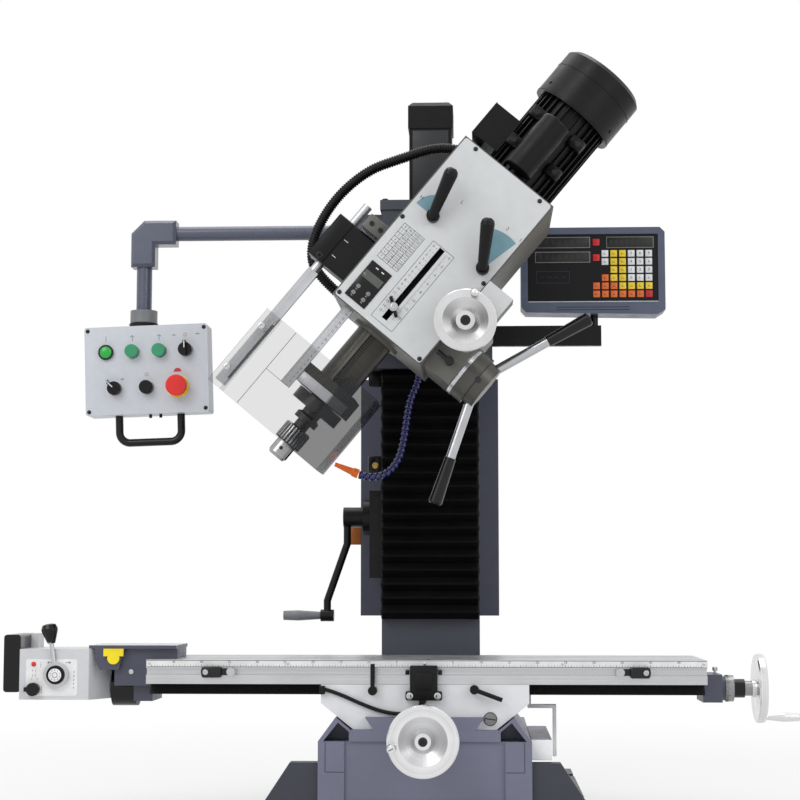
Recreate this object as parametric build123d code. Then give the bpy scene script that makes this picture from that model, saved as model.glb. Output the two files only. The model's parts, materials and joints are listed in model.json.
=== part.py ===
from build123d import *
import math
import os

# Geared-head mill drill, in millimetres. Origin: centre of the foot's bolt pattern, on the floor.
# +X is to the operator's right, +Y away from the operator, +Z up.

# Shared clearances
RUN = 0.05
GAP = 0.3

# Base casting and Y ways
BASE_FRONT_Y = -290.0
BASE_BACK_Y = 330.0
BASE_WALL = 24.0
FOOT_WIDTH = 570.0
FOOT_TOP_WIDTH = 480.0
FOOT_RIM = 42.0
FOOT_HEIGHT = 110.0
FOOT_SETBACK = 12.0
FOOT_APRON = 30.0
FOOT_HOLE_R = 7.0
FOOT_HOLE_X = 500.0
FOOT_HOLE_Y = 400.0
FOOT_SEAT_Z = 25.0
FOOT_SEAT = 44.0
BODY_WIDTH = 378.0
BODY_TOP_Z = 148.0
DECK_WIDTH = 262.0
DECK_Z = 168.0
Y_WAY_ROOT = 180.0
Y_WAY_WIDTH = 211.0
Y_WAY_Z = 190.0
Y_WAY_BACK = 85.0
WING_PEAK_X = 158.0
WING_PEAK_Z = 190.0
WING_SHEET = 9.0
WING_POCKET = 60.0
PAD_WIDTH = 42.0
PAD_RELIEF = 5.0
NUT_SLOT = 64.0
Y_SCREW_Z = 156.0
Y_SCREW_R = 10.0

# Column and Z drive
COLUMN_WIDTH = 195.0
COLUMN_FRONT_Y = 110.0
COLUMN_BACK_Y = 300.0
COLUMN_TOP_Z = 1183.0
COLUMN_WALL = 22.0
COLUMN_FOOT_WIDTH = 250.0
COLUMN_FOOT = 25.0
Z_WAY_DEPTH = 30.0
Z_WAY_ROOT = 160.0
Z_SLOT = 72.0
Z_SCREW_Y = 200.0
Z_SCREW_R = 12.5
CAP_THICKNESS = 20.0
CAP_OVERHANG = 4.0
LIFT_MOTOR_SIZE = 88.0
LIFT_MOTOR_HEAD = 93.0
LIFT_MOTOR_TOP_Z = 1419.0
LIFT_HEAD_HEIGHT = 56.0
LIFT_CHAMFER = 9.0
CRANK_Z = 561.0
CRANK_SHAFT_R = 10.0
CRANK_PLATE = 27.0
CRANK_PLATE_LOW_Z = 437.0
CRANK_PLATE_HIGH_Z = 613.0
CRANK_PLATE_DEPTH = 110.0
CRANK_FLANGE_R = 36.0
CRANK_FLANGE = 15.0
CRANK_BOSS_R = 20.5
CRANK_BOSS = 41.0
CRANK_ARM_DROP = 200.0
CRANK_ARM_LEAN = 33.0
CRANK_ARM_R = 7.5
CRANK_ARM_TOP = 54.0
CRANK_ARM_FOOT = 30.0
CRANK_EYE_R = 12.0
CRANK_EYE = 27.0
CRANK_GRIP_R = 10.5
CRANK_GRIP = 76.0
BEVEL_FAR = 42.0
BEVEL_NEAR = 28.0
BEVEL_GAP = 1.0
CABINET_WIDTH = 290.0
CABINET_X = -7.0
CABINET_DEPTH = 120.0
CABINET_LOW_Z = 359.0
CABINET_HIGH_Z = 856.0
CABINET_SHEET = 4.0
BELLOWS_LOW_Z = 356.0
BELLOWS_HIGH_Z = 852.0
BELLOWS_FOLDS = 15
BELLOWS_DEPTH = 42.0
FOLD_DEPTH = 16.0
BELLOWS_SIDE = 0.5

# Head swivel and carriage
SPINDLE_Y = -150.0
PIVOT_Z = 1000.0
HEAD_TILT = 40.0
CARRIAGE_WIDTH = 250.0
CARRIAGE_HIGH_Z = 1140.0
CARRIAGE_FRONT_Y = 60.0
FLANGE_R = 115.0
SWIVEL_Y = 20.0
SPIGOT_R = 30.0
SPIGOT_DEPTH = 30.0


def block(x0, x1, y0, y1, z0, z1):
    """A box between two corners."""
    return Pos((x0 + x1) / 2, (y0 + y1) / 2, (z0 + z1) / 2) * Box(x1 - x0, y1 - y0, z1 - z0)


def walls(casting, cells):
    """A hollow casting as one solid for each wall, so that the space inside stays open."""
    return [casting & cell for cell in cells]


def rod(start, end, radius):
    """A round bar from one point to another."""
    a = Vector(*start)
    b = Vector(*end)
    bar = Cylinder(radius, (b - a).length, align=(Align.CENTER, Align.CENTER, Align.MIN))
    return Plane(origin=a, z_dir=b - a).location * bar


def outline(points):
    """A flat face inside a closed run of points."""
    return make_face(Polyline(*points, close=True))


def prism_x(points, x0, x1):
    """A (y, z) outline drawn out along X."""
    plane = Plane(origin=(x0, 0, 0), x_dir=(0, 1, 0), z_dir=(1, 0, 0))
    return extrude(plane * outline(points), x1 - x0)


def prism_y(points, y0, y1):
    """An (x, z) outline drawn out along Y."""
    plane = Plane(origin=(0, y1, 0), x_dir=(1, 0, 0), z_dir=(0, -1, 0))
    return extrude(plane * outline(points), y1 - y0)


def prism_z(points, z0, z1):
    """An (x, y) outline drawn out along Z."""
    return extrude(Plane.XY.offset(z0) * outline(points), z1 - z0)


def turned(points, origin, axis):
    """A (radius, height) outline turned about an axis through the origin given."""
    solid = revolve(Plane.XZ * outline(points), Axis.Z)
    return Plane(origin=origin, z_dir=axis).location * solid


def mirrored(points):
    """A half outline on the right, closed by its mirror image on the left."""
    return points + [(-x, z) for x, z in reversed(points)]


def base_casting():
    """Box casting on a flat foot with a front apron; open pockets under the wings beside the ways."""
    foot = prism_y(
        mirrored([(FOOT_WIDTH / 2, 0), (FOOT_WIDTH / 2, FOOT_RIM), (FOOT_TOP_WIDTH / 2, FOOT_HEIGHT)]),
        BASE_FRONT_Y + FOOT_SETBACK, BASE_FRONT_Y + FOOT_SETBACK + FOOT_APRON)
    foot += block(-FOOT_WIDTH / 2, FOOT_WIDTH / 2, BASE_FRONT_Y + FOOT_SETBACK, BASE_BACK_Y, 0, FOOT_RIM)
    half = BODY_WIDTH / 2
    body = block(-half, half, BASE_FRONT_Y, BASE_BACK_Y, 0, BODY_TOP_Z)
    deck = block(-DECK_WIDTH / 2, DECK_WIDTH / 2, BASE_FRONT_Y, Y_WAY_BACK, BODY_TOP_Z, DECK_Z)
    way = prism_y(mirrored([(Y_WAY_ROOT / 2, DECK_Z), (Y_WAY_WIDTH / 2, Y_WAY_Z)]), BASE_FRONT_Y,
                  Y_WAY_BACK)
    seat = block(-COLUMN_FOOT_WIDTH / 2, COLUMN_FOOT_WIDTH / 2, Y_WAY_BACK, BASE_BACK_Y, BODY_TOP_Z,
                 Y_WAY_Z)
    wing = prism_y(
        [(half, BODY_TOP_Z), (WING_PEAK_X, WING_PEAK_Z), (DECK_WIDTH / 2 + GAP, DECK_Z - GAP),
         (DECK_WIDTH / 2 - GAP, BODY_TOP_Z)], BASE_FRONT_Y, Y_WAY_BACK)
    side = DECK_WIDTH / 2 + WING_SHEET / 3
    wing -= prism_y(
        [(half - WING_SHEET, BODY_TOP_Z), (WING_PEAK_X - WING_SHEET / 2, WING_PEAK_Z - WING_SHEET),
         (side, DECK_Z - WING_SHEET / 3), (side, BODY_TOP_Z)], BASE_FRONT_Y, BASE_FRONT_Y + WING_POCKET)
    solid = foot + body + deck + way + seat + wing + mirror(wing, Plane.YZ)
    solid -= block(-half + BASE_WALL, half - BASE_WALL, BASE_FRONT_Y + BASE_WALL, BASE_BACK_Y - BASE_WALL,
                   0, BODY_TOP_Z - BASE_WALL)
    solid -= block(-NUT_SLOT / 2, NUT_SLOT / 2, BASE_FRONT_Y + BASE_WALL, Y_WAY_BACK - BASE_WALL,
                   BODY_TOP_Z - BASE_WALL, Y_WAY_Z)
    relief = half - PAD_WIDTH - PAD_RELIEF
    solid -= block(-relief, relief, BASE_FRONT_Y, BASE_FRONT_Y + PAD_RELIEF, FOOT_RIM, BODY_TOP_Z)
    screw_ends = [(0, BASE_FRONT_Y, Y_SCREW_Z), (0, Y_WAY_BACK, Y_SCREW_Z)]
    solid -= rod(screw_ends[0], screw_ends[1], Y_SCREW_R + RUN)
    for x in (-FOOT_HOLE_X / 2, FOOT_HOLE_X / 2):
        for y in (-FOOT_HOLE_Y / 2, FOOT_HOLE_Y / 2):
            reach = math.copysign(FOOT_WIDTH / 2, x)
            low, high = sorted((x - math.copysign(FOOT_SEAT / 2, x), reach))
            solid -= block(low, high, y - FOOT_SEAT / 2, y + FOOT_SEAT / 2, FOOT_SEAT_Z, FOOT_HEIGHT)
            solid -= rod((x, y, 0), (x, y, FOOT_SEAT_Z), FOOT_HOLE_R)
    return solid


def column_section(width, root, front, depth):
    """Half of a dovetailed section, from the front edge round to the body's side."""
    return [(width / 2, front), (root / 2, front + depth), (width / 2, front + depth + 6)]


ARM_PIVOT_X = -132.0
ARM_PIVOT_Y = 180.0
ARM_Z = 1150.0
ARM_LUG_R = 22.0
ARM_EYE = 34.0
ARM_LUG = 16.0
ARM_PIN_R = 8.0


def column():
    """Box column with its dovetail ways and the lugs of the control arm, wall by wall."""
    half = column_section(COLUMN_WIDTH, Z_WAY_ROOT, COLUMN_FRONT_Y, Z_WAY_DEPTH)
    half = half + [(COLUMN_WIDTH / 2, COLUMN_BACK_Y)]
    solid = prism_z(mirrored(half), Y_WAY_Z, COLUMN_TOP_Z)
    solid += block(-COLUMN_FOOT_WIDTH / 2, COLUMN_FOOT_WIDTH / 2, COLUMN_FRONT_Y, BASE_BACK_Y - GAP,
                   Y_WAY_Z, Y_WAY_Z + COLUMN_FOOT)
    inner = COLUMN_WIDTH / 2 - COLUMN_WALL
    cavity_front = COLUMN_FRONT_Y + Z_WAY_DEPTH + COLUMN_WALL / 2
    solid -= block(-inner, inner, cavity_front, COLUMN_BACK_Y - COLUMN_WALL, Y_WAY_Z, COLUMN_TOP_Z)
    solid -= block(-Z_SLOT / 2, Z_SLOT / 2, COLUMN_FRONT_Y, cavity_front,
                   BELLOWS_LOW_Z + COLUMN_WALL, COLUMN_TOP_Z)
    side = -COLUMN_WIDTH / 2
    solid -= rod((side, Z_SCREW_Y, CRANK_Z), (-inner, Z_SCREW_Y, CRANK_Z), CRANK_SHAFT_R + RUN)
    for low in (ARM_Z - ARM_EYE / 2 - ARM_LUG, ARM_Z + ARM_EYE / 2):
        lug = block(ARM_PIVOT_X, side, ARM_PIVOT_Y - ARM_LUG_R, ARM_PIVOT_Y + ARM_LUG_R, low, low + ARM_LUG)
        lug += rod((ARM_PIVOT_X, ARM_PIVOT_Y, low), (ARM_PIVOT_X, ARM_PIVOT_Y, low + ARM_LUG), ARM_LUG_R)
        lug -= rod((ARM_PIVOT_X, ARM_PIVOT_Y, low), (ARM_PIVOT_X, ARM_PIVOT_Y, low + ARM_LUG),
                   ARM_PIN_R + RUN)
        solid += lug
    reach, slot = COLUMN_WIDTH, Z_SLOT / 2
    front, back, deep = COLUMN_FRONT_Y, COLUMN_BACK_Y - COLUMN_WALL, BASE_BACK_Y
    low, high = Y_WAY_Z, COLUMN_TOP_Z
    return walls(solid, [
        block(-reach, -inner, front, deep, low, high), block(inner, reach, front, deep, low, high),
        block(-inner, inner, back, deep, low, high), block(-inner, -slot, front, cavity_front, low, high),
        block(slot, inner, front, cavity_front, low, high),
        block(-slot, slot, front, cavity_front, low, BELLOWS_LOW_Z + COLUMN_WALL)])


def column_cap():
    half = COLUMN_WIDTH / 2 + CAP_OVERHANG
    top = COLUMN_TOP_Z + CAP_THICKNESS
    solid = block(-half, half, COLUMN_FRONT_Y - CAP_OVERHANG, COLUMN_BACK_Y + CAP_OVERHANG, COLUMN_TOP_Z,
                  top)
    return solid - rod((0, Z_SCREW_Y, COLUMN_TOP_Z), (0, Z_SCREW_Y, top), Z_SCREW_R + RUN)


def z_lift_motor():
    """A square-frame gear motor standing on the column cap, with a wider chamfered head."""
    low = COLUMN_TOP_Z + CAP_THICKNESS
    neck = LIFT_MOTOR_TOP_Z - LIFT_HEAD_HEIGHT
    s = LIFT_MOTOR_SIZE / 2
    h = LIFT_MOTOR_HEAD / 2
    frame = block(-s, s, Z_SCREW_Y - s, Z_SCREW_Y + s, low, neck)
    head = block(-h, h, Z_SCREW_Y - h, Z_SCREW_Y + h, neck, LIFT_MOTOR_TOP_Z)
    head = chamfer(head.edges().group_by(Axis.Z)[-1], LIFT_CHAMFER)
    solid = frame + head
    return solid - rod((0, Z_SCREW_Y, low), (0, Z_SCREW_Y, low + Z_SCREW_R), Z_SCREW_R + GAP)


def electrical_cabinet():
    left = CABINET_X - CABINET_WIDTH / 2
    right = CABINET_X + CABINET_WIDTH / 2
    back = COLUMN_BACK_Y + CABINET_DEPTH
    t = CABINET_SHEET
    tray = block(left, right, COLUMN_BACK_Y, back - t, CABINET_LOW_Z, CABINET_HIGH_Z)
    tray -= block(left + t, right - t, COLUMN_BACK_Y + t, back - t, CABINET_LOW_Z + t, CABINET_HIGH_Z - t)
    cover = block(left, right, back - t, back, CABINET_LOW_Z, CABINET_HIGH_Z)
    return [tray, cover]


def way_bellows():
    """Pleated cover of the Z ways: a zigzag front with sharp folds, flat at the back."""
    back = COLUMN_FRONT_Y - GAP
    pitch = (BELLOWS_HIGH_Z - BELLOWS_LOW_Z) / BELLOWS_FOLDS
    front = back - BELLOWS_DEPTH
    points = [(back, BELLOWS_LOW_Z), (front + FOLD_DEPTH, BELLOWS_LOW_Z)]
    for fold in range(BELLOWS_FOLDS):
        points.append((front, BELLOWS_LOW_Z + (fold + 0.5) * pitch))
        points.append((front + FOLD_DEPTH, BELLOWS_LOW_Z + (fold + 1) * pitch))
    points.append((back, BELLOWS_HIGH_Z))
    half = COLUMN_WIDTH / 2 + BELLOWS_SIDE
    return prism_x(points, -half, half)


def crank_housing():
    side = -COLUMN_WIDTH / 2
    plate = side - CRANK_PLATE
    half = CRANK_PLATE_DEPTH / 2
    solid = block(plate, side, Z_SCREW_Y - half, Z_SCREW_Y + half, CRANK_PLATE_LOW_Z, CRANK_PLATE_HIGH_Z)
    end = plate - CRANK_FLANGE
    solid += rod((plate, Z_SCREW_Y, CRANK_Z), (end, Z_SCREW_Y, CRANK_Z), CRANK_FLANGE_R)
    return solid - rod((side, Z_SCREW_Y, CRANK_Z), (end, Z_SCREW_Y, CRANK_Z), CRANK_SHAFT_R + RUN)


def z_crank():
    """Crank arm with its shaft and bevel gear; the grip is a separate turned piece."""
    y, z = Z_SCREW_Y, CRANK_Z
    face = -COLUMN_WIDTH / 2 - CRANK_PLATE - CRANK_FLANGE - GAP
    outer = face - CRANK_BOSS
    shaft = rod((-BEVEL_FAR, y, z), (face, y, z), CRANK_SHAFT_R)
    gear = turned([(0, 0), (BEVEL_FAR - BEVEL_GAP, 0), (BEVEL_NEAR - BEVEL_GAP, BEVEL_FAR - BEVEL_NEAR),
                   (0, BEVEL_FAR - BEVEL_NEAR)], (-BEVEL_FAR, y, z), (1, 0, 0))
    boss = rod((face, y, z), (outer, y, z), CRANK_BOSS_R)
    top = (outer + CRANK_ARM_R, y, z)
    eye_x = outer - CRANK_ARM_LEAN
    low = (eye_x, y, z - CRANK_ARM_DROP)
    knee = (top[0], y, z - CRANK_ARM_TOP)
    ankle = (eye_x, y, low[2] + CRANK_ARM_FOOT)
    arm = rod(top, knee, CRANK_ARM_R) + rod(knee, ankle, CRANK_ARM_R) + rod(ankle, low, CRANK_ARM_R)
    arm += [Pos(*bend) * Sphere(CRANK_ARM_R) for bend in (knee, ankle)]
    eye = rod((eye_x + CRANK_EYE / 2, y, low[2]), (eye_x - CRANK_EYE / 2, y, low[2]), CRANK_EYE_R)
    start = eye_x - CRANK_EYE / 2
    grip = turned([(0, 0), (CRANK_GRIP_R * 0.72, 0), (CRANK_GRIP_R, CRANK_GRIP * 0.6),
                   (CRANK_GRIP_R * 0.9, CRANK_GRIP), (0, CRANK_GRIP)], (start, y, low[2]), (-1, 0, 0))
    return [shaft + gear + boss + arm + eye, grip]


def z_leadscrew():
    """Z screw with its bevel gear, standing over the base seat and carried in the column cap."""
    top = COLUMN_TOP_Z + CAP_THICKNESS + Z_SCREW_R / 2
    screw = rod((0, Z_SCREW_Y, Y_WAY_Z + GAP), (0, Z_SCREW_Y, top), Z_SCREW_R)
    gear = turned([(0, 0), (BEVEL_FAR - BEVEL_GAP, 0), (BEVEL_NEAR - BEVEL_GAP, BEVEL_FAR - BEVEL_NEAR),
                   (0, BEVEL_FAR - BEVEL_NEAR)], (0, Z_SCREW_Y, CRANK_Z - BEVEL_FAR), (0, 0, 1))
    return screw + gear


# Saddle and table
SADDLE_WIDTH = 370.0
SADDLE_LENGTH = 256.0
SADDLE_FOOT_WIDTH = 254.0
SADDLE_SLOPE_Z = 214.0
TABLE_LENGTH = 1000.0
TABLE_WIDTH = 240.0
TABLE_TOP_Z = 290.0
TABLE_SLAB = 43.0
X_WAY_DEPTH = 20.0
X_WAY_ROOT = 140.0
X_WAY_WIDTH = 168.0
T_SLOT = 14.0
T_SLOT_NECK = 12.0
T_SLOT_WIDE = 24.0
T_SLOT_DEPTH = 23.0
T_SLOT_PITCH = 65.0
DOG_GROOVE = 12.0
DOG_GROOVE_DEPTH = 8.0
DOG_GROOVE_Z = 269.0
DOG_LENGTH = 61.0
DOG_INSET = 131.0
DOG_COLLAR_R = 7.5
DOG_PROUD = 13.0
X_SCREW_Z = 235.0
X_SCREW_R = 11.0
SCREW_CHANNEL = 34.0
SCREW_GROOVE = 2.0
CHANNEL_TOP_Z = 251.0
NUT_LENGTH = 50.0
NUT_WALL = 15.0
READER_WIDTH = 24.0
READER_GAP = 6.0
READER_SHEET = 6.0
READER_TOP_Z = 205.0
READER_LOW_Z = 112.0
SCALE_WIDTH = 36.0
SCALE_LOW_Z = 114.0
SCALE_HIGH_Z = 150.0
SCALE_FRONT_Y = -262.0
SCALE_BACK_Y = 60.0
SWITCH_LEFT = -34.0
SWITCH_RIGHT = 31.0
SWITCH_LOW_Z = 220.0
SWITCH_HIGH_Z = 281.0
SWITCH_DEPTH = 18.0
SWITCH_FOOT = 16.0
LEAD_R = 3.5
LEAD_X = -4.0
LEAD_REACH = 178.0
LEAD_DIP = 25.0
# Shares of the reach to the left and of the dip below the switch
LEAD_SHARES = [(1, -0.8), (0.8316, -0.45), (0.6211, 0.24), (0.4211, 0.78), (0.2421, 1), (0.1053, 0.84),
               (0.0211, 0.44), (0, 0)]
CLIP = 10.0
LOCK_HUB_R = 8.0
LOCK_STEM_R = 5.0
LOCK_STEM = 20.0
LOCK_ARM_R = 4.0
LOCK_STANDOFF = 14.0
LOCK_HUB_END = 1.5
LOCK_PLACES = {"left": (-92.0, 237.0, -92.0, 284.0), "right": (88.0, 239.0, 137.0, 221.0)}

# Handwheels and end brackets
WHEEL_R = 62.5
WHEEL_RIM = 20.0
WHEEL_HUB_R = 16.0
WHEEL_WIDTH = 22.0
WHEEL_HANDLE_R = 8.5
WHEEL_HANDLE_PLACE = 52.0
X_HANDLE = 68.0
Y_HANDLE = 58.0
BRACKET = 35.0
BRACKET_WIDTH = 100.0
BRACKET_LOW_Z = 212.0
BRACKET_HIGH_Z = 262.0
BEARING_R = 22.0
BEARING = 10.0
X_DIAL_R = 24.0
X_DIAL = 15.0
X_CLUTCH_R = 17.0
X_CLUTCH = 34.0
Y_DIAL_R = 28.0
Y_DIAL = 38.0
Y_HUB_R = 15.0
Y_HUB = 42.0

# Power feed at the table's left end
FEED_WIDTH = 127.0
FEED_OFF = 111.0
FEED_FRONT_Y = -235.0
FEED_BACK_Y = -105.0
FEED_LOW_Z = 216.0
FEED_HIGH_Z = 307.0
FEED_CORNER = 6.0
FEED_TAPER = 30.0
FEED_TAPER_DEPTH = 60.0
FEED_CAP = 31.0
FEED_CAP_LOW_Z = 229.0
FEED_CAP_HIGH_Z = 333.0
FEED_LUMP = 13.0
FEED_COVER_R = 34.0
ADAPTOR = 67.0
ADAPTOR_LOW_Z = 241.0
ADAPTOR_HIGH_Z = 308.0
TRIP_WIDTH = 54.0
TRIP_OFF = 48.0
TRIP_LOW_Z = 270.0
TRIP_PLATE = 6.0
TRIP_PLATE_REACH = 112.0
TRIP_BLOCK = 48.0
PADDLE_DEPTH = 7.0
FEED_DIAL_INSET = 59.0
FEED_DIAL_Z = 261.0
FEED_RING_R = 23.0
FEED_RING = 9.0
FEED_DIAL_R = 16.0
FEED_DIAL = 14.0
FEED_STEM_R = 5.0
FEED_STEM = 24.0
FEED_LEVER_R = 4.0
FEED_LEVER_TOP_Z = 336.0
FEED_KNOB_R = 15.0
FEED_KNOB = 36.0
POWER_KNOB_INSET = 27.0
POWER_KNOB_Z = 235.0
POWER_KNOB_R = 12.0
POWER_KNOB = 12.0

# The feed, its adaptor and its trip switch keep their distances from the table's left end
TABLE_END = -TABLE_LENGTH / 2
FEED_RIGHT = TABLE_END - FEED_OFF
FEED_LEFT = FEED_RIGHT - FEED_WIDTH
FEED_END = FEED_RIGHT + FEED_TAPER
FEED_DIAL_X = FEED_RIGHT - FEED_DIAL_INSET
POWER_KNOB_X = FEED_LEFT + POWER_KNOB_INSET
ADAPTOR_LEFT = TABLE_END - ADAPTOR
TRIP_RIGHT = TABLE_END - TRIP_OFF
TRIP_LEFT = TRIP_RIGHT - TRIP_WIDTH
TRIP_PLATE_LEFT = TABLE_END - TRIP_PLATE_REACH
TRIP_BLOCK_RIGHT = TABLE_END + TRIP_BLOCK
DOG_X = TABLE_LENGTH / 2 - DOG_INSET
SADDLE_FRONT_Y = SPINDLE_Y - SADDLE_LENGTH / 2
SADDLE_BACK_Y = SPINDLE_Y + SADDLE_LENGTH / 2
TABLE_FRONT_Y = SPINDLE_Y - TABLE_WIDTH / 2
TABLE_BACK_Y = SPINDLE_Y + TABLE_WIDTH / 2
SLAB_LOW_Z = TABLE_TOP_Z - TABLE_SLAB
X_WAY_LOW_Z = SLAB_LOW_Z - X_WAY_DEPTH
SADDLE_TOP_Z = SLAB_LOW_Z - GAP


def saddle():
    """Saddle on the Y ways, with a dovetail channel for the table and both feed nuts."""
    low = DECK_Z + GAP
    body = prism_y(
        mirrored([(SADDLE_FOOT_WIDTH / 2, low), (SADDLE_WIDTH / 2, SADDLE_SLOPE_Z),
                  (SADDLE_WIDTH / 2, SADDLE_TOP_Z)]),
        SADDLE_FRONT_Y, SADDLE_BACK_Y)
    side = 2 * GAP
    roof = Y_WAY_Z + GAP
    body -= prism_y(mirrored([(Y_WAY_ROOT / 2 + side, DECK_Z), (Y_WAY_WIDTH / 2 + side, roof)]),
                    SADDLE_FRONT_Y, SADDLE_BACK_Y)
    floor = X_WAY_LOW_Z - GAP
    channel = [(X_WAY_WIDTH / 2 + side, floor), (X_WAY_ROOT / 2 + side, SADDLE_TOP_Z)]
    channel = [(SPINDLE_Y + y, z) for y, z in mirrored(channel)]
    body -= prism_x(channel, -SADDLE_WIDTH / 2, SADDLE_WIDTH / 2)
    edge = SADDLE_WIDTH / 2
    body -= rod((-edge, SPINDLE_Y, X_SCREW_Z), (edge, SPINDLE_Y, X_SCREW_Z), X_SCREW_R + SCREW_GROOVE)
    half = NUT_LENGTH / 2
    x_wide = SCREW_CHANNEL / 2 - 2
    body += block(-half, half, SPINDLE_Y - x_wide, SPINDLE_Y + x_wide, floor - 2 * SCREW_GROOVE,
                  CHANNEL_TOP_Z - 2)
    body -= rod((-half, SPINDLE_Y, X_SCREW_Z), (half, SPINDLE_Y, X_SCREW_Z), X_SCREW_R + RUN)
    y_wide = Y_SCREW_R + NUT_WALL
    body += block(-y_wide, y_wide, SPINDLE_Y - half, SPINDLE_Y + half, Y_SCREW_Z - y_wide, roof + GAP)
    body -= rod((0, SPINDLE_Y - half, Y_SCREW_Z), (0, SPINDLE_Y + half, Y_SCREW_Z), Y_SCREW_R + RUN)
    for x, z, tip_x, tip_z in LOCK_PLACES.values():
        body -= rod((x, SADDLE_FRONT_Y, z), (x, SADDLE_FRONT_Y + LOCK_STEM + GAP, z), LOCK_STEM_R + RUN)
    right = SADDLE_WIDTH / 2
    reach = BODY_WIDTH / 2 + SCALE_WIDTH + READER_GAP + READER_SHEET
    near = SPINDLE_Y - READER_WIDTH / 2
    far = SPINDLE_Y + READER_WIDTH / 2
    reader = block(right, reach, near, far, READER_TOP_Z - READER_SHEET, READER_TOP_Z)
    reader += block(reach - READER_SHEET, reach, near, far, READER_LOW_Z, READER_TOP_Z)
    pad_top = X_SCREW_Z - X_SCREW_R - SCREW_GROOVE
    reader += block(right, right + READER_SHEET, near, far, READER_TOP_Z - READER_SHEET, pad_top)
    return [body, reader]


def y_scale():
    side = BODY_WIDTH / 2
    return block(side, side + SCALE_WIDTH, SCALE_FRONT_Y, SCALE_BACK_Y, SCALE_LOW_Z, SCALE_HIGH_Z)


def cord(points, radius):
    """A round cord along straight runs joined by arcs as large as the runs allow."""
    corners = [Vector(*point) for point in points]
    radii = []
    for before, here, after in zip(corners, corners[1:], corners[2:]):
        turn = math.radians((here - before).get_angle(after - here))
        radii.append(0.45 * min((here - before).length, (after - here).length) / math.tan(turn / 2))
    path = FilletPolyline(*corners, radius=radii)
    section = Plane(origin=corners[0], z_dir=corners[1] - corners[0]) * Circle(radius)
    solid = sweep(section, path=path)
    print("cord length", round(path.length, 1), "volume ratio",
          round(solid.volume / (math.pi * radius ** 2 * path.length),
                4), "radii", [round(r) for r in radii])
    return solid


def limit_switch():
    """X limit switch on the saddle's front, with its lead clipped along the casting."""
    front = SADDLE_FRONT_Y - SWITCH_DEPTH
    body = block(SWITCH_LEFT + SWITCH_FOOT / 2, SWITCH_RIGHT - SWITCH_FOOT / 2, front, SADDLE_FRONT_Y,
                 SWITCH_LOW_Z, SWITCH_HIGH_Z)
    body += block(SWITCH_LEFT, SWITCH_RIGHT, front + 2, SADDLE_FRONT_Y, SWITCH_LOW_Z,
                  SWITCH_LOW_Z + SWITCH_FOOT)
    body += rod((SWITCH_LEFT, front + SWITCH_DEPTH / 2, DOG_GROOVE_Z),
                (SWITCH_RIGHT, front + SWITCH_DEPTH / 2,
                DOG_GROOVE_Z), LEAD_R)
    lay = SADDLE_FRONT_Y - LEAD_R - GAP
    end = SADDLE_FRONT_Y - SWITCH_DEPTH / 2
    depths = [lay] * 5 + [lay - 0.4 * LEAD_R, lay - 1.6 * LEAD_R, end]
    points = [(LEAD_X - LEAD_REACH * left, y, SWITCH_LOW_Z - LEAD_DIP * dip)
              for (left, dip), y in zip(LEAD_SHARES, depths)]
    start = points[0]
    clip = block(start[0] - CLIP / 2, start[0] + CLIP / 2, SADDLE_FRONT_Y - CLIP, SADDLE_FRONT_Y,
                 start[2] - CLIP, start[2] + CLIP / 2)
    lead = cord(points, LEAD_R) - clip
    return [body, clip, lead]


def lock_lever(place):
    x, z, tip_x, tip_z = LOCK_PLACES[place]
    face = SADDLE_FRONT_Y - LOCK_STANDOFF
    solid = rod((x, SADDLE_FRONT_Y + LOCK_STEM, z), (x, SADDLE_FRONT_Y - GAP, z), LOCK_STEM_R)
    solid += rod((x, SADDLE_FRONT_Y - GAP, z), (x, face - LOCK_ARM_R - LOCK_HUB_END, z), LOCK_HUB_R)
    return solid + rod((x, face, z), (tip_x, face, tip_z), LOCK_ARM_R)


def table():
    half = TABLE_LENGTH / 2
    slab = block(-half, half, TABLE_FRONT_Y, TABLE_BACK_Y, SLAB_LOW_Z, TABLE_TOP_Z)
    way = [(X_WAY_WIDTH / 2, X_WAY_LOW_Z), (X_WAY_ROOT / 2, SLAB_LOW_Z)]
    slab += prism_x([(SPINDLE_Y + y, z) for y, z in mirrored(way)], -half, half)
    channel = SCREW_CHANNEL / 2
    slab -= block(-half, half, SPINDLE_Y - channel, SPINDLE_Y + channel, X_WAY_LOW_Z, CHANNEL_TOP_Z)
    for row in (-1, 0, 1):
        y = SPINDLE_Y + row * T_SLOT_PITCH
        slab -= block(-half, half, y - T_SLOT / 2, y + T_SLOT / 2, TABLE_TOP_Z - T_SLOT_DEPTH, TABLE_TOP_Z)
        slab -= block(-half, half, y - T_SLOT_WIDE / 2, y + T_SLOT_WIDE / 2,
                      TABLE_TOP_Z - T_SLOT_DEPTH, TABLE_TOP_Z - T_SLOT_NECK)
    slab -= block(-half, half, TABLE_FRONT_Y, TABLE_FRONT_Y + DOG_GROOVE_DEPTH,
                  DOG_GROOVE_Z - DOG_GROOVE / 2, DOG_GROOVE_Z + DOG_GROOVE / 2)
    return slab


def trip_dogs():
    """Two adjustable stops clamped in the groove along the table's front."""
    dogs = []
    for middle in (-DOG_X, DOG_X):
        left = middle - DOG_LENGTH / 2
        right = middle + DOG_LENGTH / 2
        height = DOG_GROOVE / 2
        front = TABLE_FRONT_Y - DOG_PROUD
        dog = block(left, right, TABLE_FRONT_Y - DOG_PROUD / 2, TABLE_FRONT_Y + DOG_GROOVE_DEPTH,
                    DOG_GROOVE_Z - height, DOG_GROOVE_Z + height)
        for x in (left + DOG_COLLAR_R, right - DOG_COLLAR_R):
            dog += rod((x, front, DOG_GROOVE_Z), (x, TABLE_FRONT_Y, DOG_GROOVE_Z), DOG_COLLAR_R)
        dogs.append(dog)
    return dogs


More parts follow.
